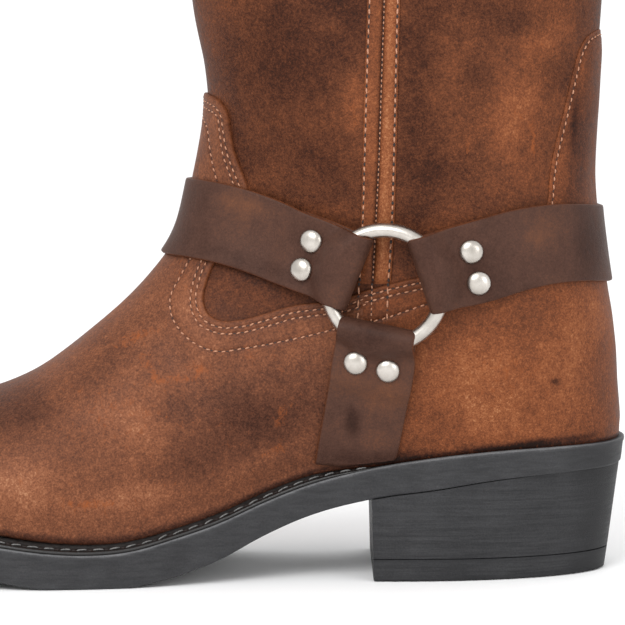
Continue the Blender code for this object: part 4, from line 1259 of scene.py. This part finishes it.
def far_run(plan, side, count=34):
    """From the end of the lap to the middle line of the boot, in front or behind."""
    start_x, start_z = strap_point(plan, LAP_END, plan.shift + ACROSS * STRAP_HALF)
    far_z = plan.far_low_z + (plan.far_top_z - plan.far_low_z) * (ACROSS + 1) / 2
    table = profile[:, (1, 0)] if plan.name == "front" else profile[:, (3, 2)]
    far_x = np.interp(far_z, table[:, 0], table[:, 1])
    run = []
    for u in np.linspace(0.0, 1.0, count)[1:]:
        share = math.sin(u * math.pi / 2)
        x = start_x + (far_x - start_x) * share
        z = start_z + (far_z - start_z) * share + plan.bow * 4 * share * (1 - share)
        turn, v = locate(x, z)
        if u == 1.0:
            turn = np.full_like(turn, 0.5 if plan.name == "front" else 0.0)
        run.append(skin(on_side(turn, side), v, STRAP_REST)[0])
    return run


def leather_band(name, run, nodes):
    """Gives a run of mid lines its thickness, with eased corners and raw cut edges."""
    points = np.array(run)
    for _ in range(2):
        points[1:-1] = (points[:-2] + 2 * points[1:-1] + points[2:]) / 4
    along = np.gradient(points, axis=0)
    across = np.gradient(points, axis=1)
    normals = unit(np.cross(along, across))
    sideways = unit(across)
    margin = np.clip((np.abs(ACROSS) * STRAP_HALF - (STRAP_HALF - EDGE_EASE)) / EDGE_EASE, 0.0, 1.0)
    thick = STRAP_THICK / 2 * (0.72 + 0.28 * np.sqrt(1 - margin ** 2))[None, :, None]
    out = points + normals * thick
    within = points - normals * thick
    right = points[:, -1:] + sideways[:, -1:] * EDGE_BULGE
    left = points[:, :1] - sideways[:, :1] * EDGE_BULGE
    ring = np.concatenate([out, right, within[:, ::-1], left], axis=1)
    edge = np.where(margin > 0.99, 0.4, 0.0)
    attributes = marks_at(ring, STRAP_MARKS)
    attributes["edge"] = np.tile(np.concatenate([edge, [1.0], edge[::-1], [1.0]]), (len(ring), 1))
    build(name, ring, tube_faces(*ring.shape[:2]), strap_leather, nodes, attributes)


def straps():
    for plan in STRAPS[:2]:
        outer = hook_run(plan, LATERAL) + far_run(plan, LATERAL)
        inner = hook_run(plan, MEDIAL) + far_run(plan, MEDIAL)
        run = outer + inner[-2::-1]
        leather_band(f"harness_{plan.name}", run, (f"strap_{plan.name}",))
    plan = STRAPS[2]
    for side, word in SIDES:
        run = hook_run(plan, side)
        for s in np.linspace(LAP_END + 1.5, STRAP_END, 18):
            x, z = strap_point(plan, s, plan.shift + ACROSS * STRAP_HALF)
            foot = feather_z(x) + 0.4
            z = np.maximum(z, foot)
            turn, v = locate(x, z)
            tuck = ease((foot + 9.0 - z) / 9.0) * 0.9
            run.append(skin(on_side(turn, side), v, STRAP_REST - tuck)[0])
        leather_band(f"harness_down_{word}", run, (f"strap_down_{word}",))


RIVET_PROFILE = ((0.97, -0.30), (1.0, 0.05), (0.985, 0.20), (0.93, 0.36), (0.84, 0.54), (0.72, 0.71),
                 (0.56, 0.85), (0.38, 0.94), (0.18, 0.99))


def rivets():
    """Domed rivets, two to each lapped strap end."""
    turn = np.arange(32) * 2 * math.pi / 32
    dome = [np.stack([radius * np.cos(turn), radius * np.sin(turn), np.full(32, rise)], axis=-1)
            for radius, rise in RIVET_PROFILE]
    form = np.concatenate(dome), tube_faces(len(dome), 32, bottom=False)
    for side, word in SIDES:
        for plan in STRAPS:
            for number, offset in ((1, -RIVET_HALF_SPAN), (2, RIVET_HALF_SPAN)):
                w = np.array([-RIVET_RADIUS, 0.0, RIVET_RADIUS]) + plan.rivet_shift + offset
                before, here, after = (strap_mid(plan, side, plan.rivet_s + d, w, FOLD_RADIUS, True)
                                       for d in (-RIVET_RADIUS, 0.0, RIVET_RADIUS))
                normal = unit(np.cross(after[1] - before[1], here[2] - here[0]))
                normal *= np.sign(normal[1]) * (-1.0 if side == LATERAL else 1.0)
                lift = max(0.0, float(np.dot((before[1] + after[1]) / 2 - here[1], normal)))
                base = (here[1] + normal * (STRAP_THICK / 2 + 0.1 + lift))[None]
                size = np.array([[RIVET_RADIUS, RIVET_RADIUS, RIVET_HEIGHT]])
                run = np.array([[1.0, 0.0, 0.2]])
                points, faces = scattered(form, base, run, normal[None], size, np.zeros(1))
                build(f"harness_rivet_{plan.name}_{word}_{number}", points, faces, nickel,
                      (f"rivet_{plan.name}_{word}_{number}",), sharp=60)


def bent_stations(start, end, count):
    share = (1 - np.cos(np.linspace(0.0, math.pi, count))) / 2
    return start + (end - start) * share


def sole_loop(along, inset, z):
    """Closed loop round the sole's outline: outer side towards the heel, inner side back."""
    lateral = np.stack([along, -outline_half(along, LATERAL, inset), z], axis=-1)
    medial = np.stack([along, outline_half(along, MEDIAL, inset), z], axis=-1)
    lateral[[0, -1], 1] = 0.0
    return np.concatenate([lateral, medial[::-1][1:-1]])


def stacked(levels, pointed=True):
    """Faces of loops stacked upwards, closed at both ends by strips from side to side.

    A pointed loop begins at one point of the middle line, the others at a corner on each side.
    """
    rows, columns = levels.shape[:2]
    faces = weave_grid(rows, columns, close_columns=True).tolist()
    last = columns if pointed else columns - 1
    for first, flip in ((0, False), ((rows - 1) * columns, True)):
        for i in range(columns // 2):
            strip = (i, i + 1, (last - 1 - i) % columns, (last - i) % columns)
            corners = [first + corner for corner in dict.fromkeys(strip)]
            if len(corners) > 2:
                faces.append(corners if flip else corners[::-1])
    return faces


def painted_light_and_joint_lines(levels, pale, line):
    """Pale bands by level are painted highlight, dark bands by level are joint lines and painted shade, and
    painted shade darkens the back of the boot all round.
    """
    # Painted shade: darker towards the back.
    back = 0.42 * ease((levels[:, :, 0] - 22.0) / 24.0)
    return {"pale": np.broadcast_to(pale, back.shape), "line": line + back}


# Loops of the outsole from below: inset, share of the way from the bottom line to the top, rise, and tones:
# pale is a painted highlight on the rounded edges, most along the top, and line is painted shade by the floor
# and under the welt
SoleLevel = namedtuple("SoleLevel", "inset share rise pale line")
SOLE_LEVELS = (
    SoleLevel(6.0, 0, 0, 0, 0), SoleLevel(1.9, 0, 0, 0, 0.1), SoleLevel(1.45, 0, 0.06, 0.1, 0.15),
    SoleLevel(1.22, 0, 0.3, 0.1, 0), SoleLevel(1.12, 0, 0.9, 0, 0), SoleLevel(0.92, 0.25, 0, 0, 0),
    SoleLevel(0.68, 0.5, 0, 0, 0), SoleLevel(0.44, 0.75, 0, 0, 0), SoleLevel(0.12, 1, -1.5, 0.05, 0),
    SoleLevel(0.02, 1, -0.8, 0.25, 0), SoleLevel(0.10, 1, -0.25, 0.75, 0), SoleLevel(0.5, 1, -0.03, 0.85, 0),
    SoleLevel(1.3, 1, 0, 0.3, 0), SoleLevel(7.0, 1, 0, 0, 0.4),
)


def outsole():
    kinks = [row.x for row in SOLE_LINES if TOE_X < row.x < HEEL_X]
    x = np.unique(np.round(np.concatenate([bent_stations(TOE_X, HEEL_X, 230), kinks]), 3))
    levels = []
    for level in SOLE_LEVELS:
        along = TOE_X + level.inset + (x - TOE_X) * (HEEL_X - TOE_X - 2 * level.inset) / (HEEL_X - TOE_X)
        top, bottom = sole_lines_at(along).T
        z = bottom * (1 - level.share) + top * level.share + level.rise
        levels.append(sole_loop(along, level.inset, z))
    levels = np.array(levels)
    # Painted highlight on the rounded top edge and painted shade by the floor and under the welt.
    pale, line = np.array([(level.pale, level.line) for level in SOLE_LEVELS]).T[:, :, None]
    build("outsole_rubber", levels, stacked(levels), sole_rubber, ("outsole",),
          painted_light_and_joint_lines(levels, pale, line), sharp=50)


def heel_section(z, count):
    """Outline of the heel block at height z: a D with its flat breast in front."""
    rear, breast, half, turn_in = read_along(z, heel_plans[:, 0], heel_plans[:, 1:])
    x = breast + (rear - breast) * np.sin(np.linspace(0.0, math.pi / 2, count))
    over = np.clip((x - (rear - turn_in)) / turn_in, 0.0, 1.0)
    return x, half * np.sqrt(1 - over ** 2)


def heel_loop(z_shape, z, inset):
    x, y = heel_section(z_shape, 90)
    middle = 0.5 * (x[0] + x[-1])
    x = middle + (x - middle) * (1 - inset / (x[-1] - middle))
    y = np.maximum(y - inset, 0.0)
    corner = 0.35
    y = np.concatenate([[y[0] - corner], y[1:]])
    x[1] = max(x[1], x[0] + corner)
    z = np.broadcast_to(z(x) if callable(z) else z, x.shape)
    lateral = np.stack([x, -y, z], axis=-1)
    medial = np.stack([x, y, z], axis=-1)[::-1][1:]
    return np.concatenate([lateral, medial])


def heel():
    def under(x):
        return np.minimum(sole_lines_at(np.clip(x, BREAST_X, HEEL_X))[:, 1] - 0.12, 39.0)

    levels = []
    plain = [(share, 0, 0) for share in (0.12, 0.25, 0.4, 0.55, 0.7, 0.85)]
    rows = ((0.0, 0.25, 0.06), (0.0, 0.0, 0.2), *plain, (1.0, 0.0, -0.15), (1.0, 0.12, 0.0))
    for share, inset, offset in rows:
        low = heel_loop(LIFT_HEIGHT, LIFT_HEIGHT + offset, inset)
        high = heel_loop(36.0, lambda x: under(x) + offset, inset)
        levels.append(low * (1 - share) + high * share)
    levels = np.array(levels)
    # Dark bands at the joints with the lift and outsole, and painted shade towards the back.
    build("heel_block_rubber", levels, stacked(levels, pointed=False), heel_rubber, ("heel_block",),
          painted_light_and_joint_lines(levels, 0.0, np.array([0.5, 0.05, 0, 0, 0, 0, 0, 0, 0.0, 0.22])[:, None]), sharp=40)

    rows = ((0.0, 1.2), (0.0, 0.35), (0.35, 0.0), (3.0, 0.0), (6.0, 0.0), (LIFT_HEIGHT - 0.25, 0.0),
            (LIFT_HEIGHT - 0.02, 0.35))
    levels = np.array([heel_loop(z, z, inset) for z, inset in rows])
    teeth = 0.28 * (0.5 + 0.5 * np.sin(levels[1, :, 0] * 2 * math.pi / 1.9))
    levels[1, :, 2] += teeth
    levels[2, :, 2] += teeth * 0.6
    faces = stacked(levels, pointed=False)
    # Painted shade along the lift's foot by the floor, a dark band at its joint with the block, and painted
    # shade towards the back.
    build("heel_lift_rubber", levels, faces, heel_rubber, ("heel_top_lift",),
          painted_light_and_joint_lines(levels, 0.0, np.array([0.0, 0.6, 0.2, 0, 0, 0.1, 0.5])[:, None]), sharp=40)


WELT_PROFILE = ((12.5, 0.0, 0.0), (0.75, 0.0, 0.0), (0.45, 0.14, 0.0), (0.5, 0.32, 0.0), (1.0, 0.44, 0.0),
                (1.7, 0.50, 0.0), (2.5, 0.62, 0.0), (3.3, 0.84, 0.0), (4.0, 1.02, 0.0), (4.7, 1.10, 0.0),
                (5.5, 1.06, 0.0), (7.0, 0.98, 0.0), (12.5, 0.98, 0.0))


def welt_ring(station, side, inset, share):
    along = WELT_END + (station - WELT_END) * (WELT_END - TOE_X - inset) / (WELT_END - TOE_X)
    rise = max(0.4, WELT_HEIGHT * float(ease((WELT_FADE_X - station) / WELT_FADE_RUN)))
    sign = -1.0 if side == LATERAL else 1.0
    base = sole_lines_at(along)[0] + 0.02
    return along, sign * float(outline_half(along, side, inset)), base + rise * share


def welt():
    """The black strip round the forepart with its pale lock stitches."""
    x = bent_stations(TOE_X, WELT_END, 150)
    run, stitch_line, above = [], [], []
    for side, order in ((LATERAL, slice(None, None, -1)), (MEDIAL, slice(1, None))):
        for station in x[order]:
            run.append([welt_ring(station, side, inset, share) for inset, share, _ in WELT_PROFILE])
            stitch_line.append(welt_ring(station, side, 2.1, 0.58))
            above.append(welt_ring(station, side, 2.9, 0.75))
    grid = np.array(run)
    build("welt_strip", grid, tube_faces(*grid.shape[:2]), welt_rubber, ("welt",), sharp=60)
    line, above = np.array(stitch_line), np.array(above)
    normals = unit(np.cross(np.gradient(line, axis=0), above - line))
    normals *= np.sign(normals[:, 2:3])
    sewing = Sewing()
    sewing.row(line, normals, WELT_PITCH, thread=0.32, hole=(0.8, 0.4), slant=6.0, cover=0.70)
    sewing.build("welt_sewing", welt_thread, "welt")


def insole():
    margin = WALL + 0.5
    start = TOE_X + FEATHER_INSET + margin
    end = HEEL_X - FEATHER_INSET_HEEL - margin
    x = bent_stations(start, end, 120)

    def level(inner, rise):
        along = start + inner + (x - start) * (end - start - 2 * inner) / (end - start)
        inset = inset_at(along) + margin + inner
        return sole_loop(along, inset, feather_z(along) + 0.1 + rise)

    rows = ((0.6, 0.0), (0.0, 0.3), (0.0, INSOLE_THICK - 0.8), (0.3, INSOLE_THICK - 0.2), (1.0, INSOLE_THICK),
            (8.0, INSOLE_THICK - 0.1), (20.0, INSOLE_THICK - 0.25))
    levels = np.array([level(*row) for row in rows])
    build("insole_board", levels, stacked(levels), insole_leather, ("insole",))


def stage():
    """The white floor and the even light round the boot."""
    mesh = bpy.data.meshes.new("studio_floor")
    signs = ((-1, -1), (1, -1), (1, 1), (-1, 1))
    corners = [(x * FLOOR_REACH, y * FLOOR_REACH, -FLOOR_GAP) for x, y in signs]
    mesh.from_pydata(corners, [], [(0, 1, 2, 3)])
    look = Look("studio_white")
    white = look.ramp(look.noise(3.0, 2.0), [(0.3, (0.93, 0.93, 0.935)), (0.7, (0.95, 0.95, 0.95))])
    mesh.materials.append(look.finish(white, 0.7))
    floor = bpy.data.objects.new("studio_floor", mesh)
    bpy.context.scene.collection.objects.link(floor)

    world = bpy.data.worlds.new("studio_light")
    bpy.context.scene.world = world
    world.use_nodes = True
    background = world.node_tree.nodes["Background"]
    background.inputs["Color"].default_value = (1.0, 1.0, 1.0, 1.0)
    background.inputs["Strength"].default_value = WORLD_LIGHT


def lamps():
    for lamp in LAMPS:
        light = bpy.data.lights.new(lamp.name, "AREA")
        light.size = lamp.size
        light.energy = lamp.power
        thing = bpy.data.objects.new(lamp.name, light)
        bpy.context.scene.collection.objects.link(thing)
        thing.location = lamp.place
        away = np.array(lamp.place) - np.array(LAMP_AIM)
        flat = math.hypot(away[0], away[1])
        thing.rotation_euler = (math.atan2(flat, away[2]), 0.0, math.atan2(away[0], -away[1]))


def camera():
    """The photograph's camera: a long lens a metre off, looking a little down."""
    data = bpy.data.cameras.new("camera")
    data.lens = CAMERA_LENS
    data.sensor_width = CAMERA_SENSOR
    data.clip_end = 50.0
    thing = bpy.data.objects.new("camera", data)
    bpy.context.scene.collection.objects.link(thing)
    thing.location = CAMERA_PLACE
    thing.rotation_euler = (math.radians(90.0 - CAMERA_DOWN), 0.0, 0.0)
    bpy.context.scene.camera = thing


camera()
stage()
lamps()
bpy.context.scene.view_settings.view_transform = "Standard"

upper()
vamp_rows, counter_rows = foxing()
sewing = Sewing()
sew_foxing(sewing, vamp_rows, counter_rows)
side_seams(sewing)
collar_row(sewing)
sewing.build("boot_sewing", seam_thread, "leather")
rings()
straps()
rivets()
outsole()
heel()
welt()
insole()
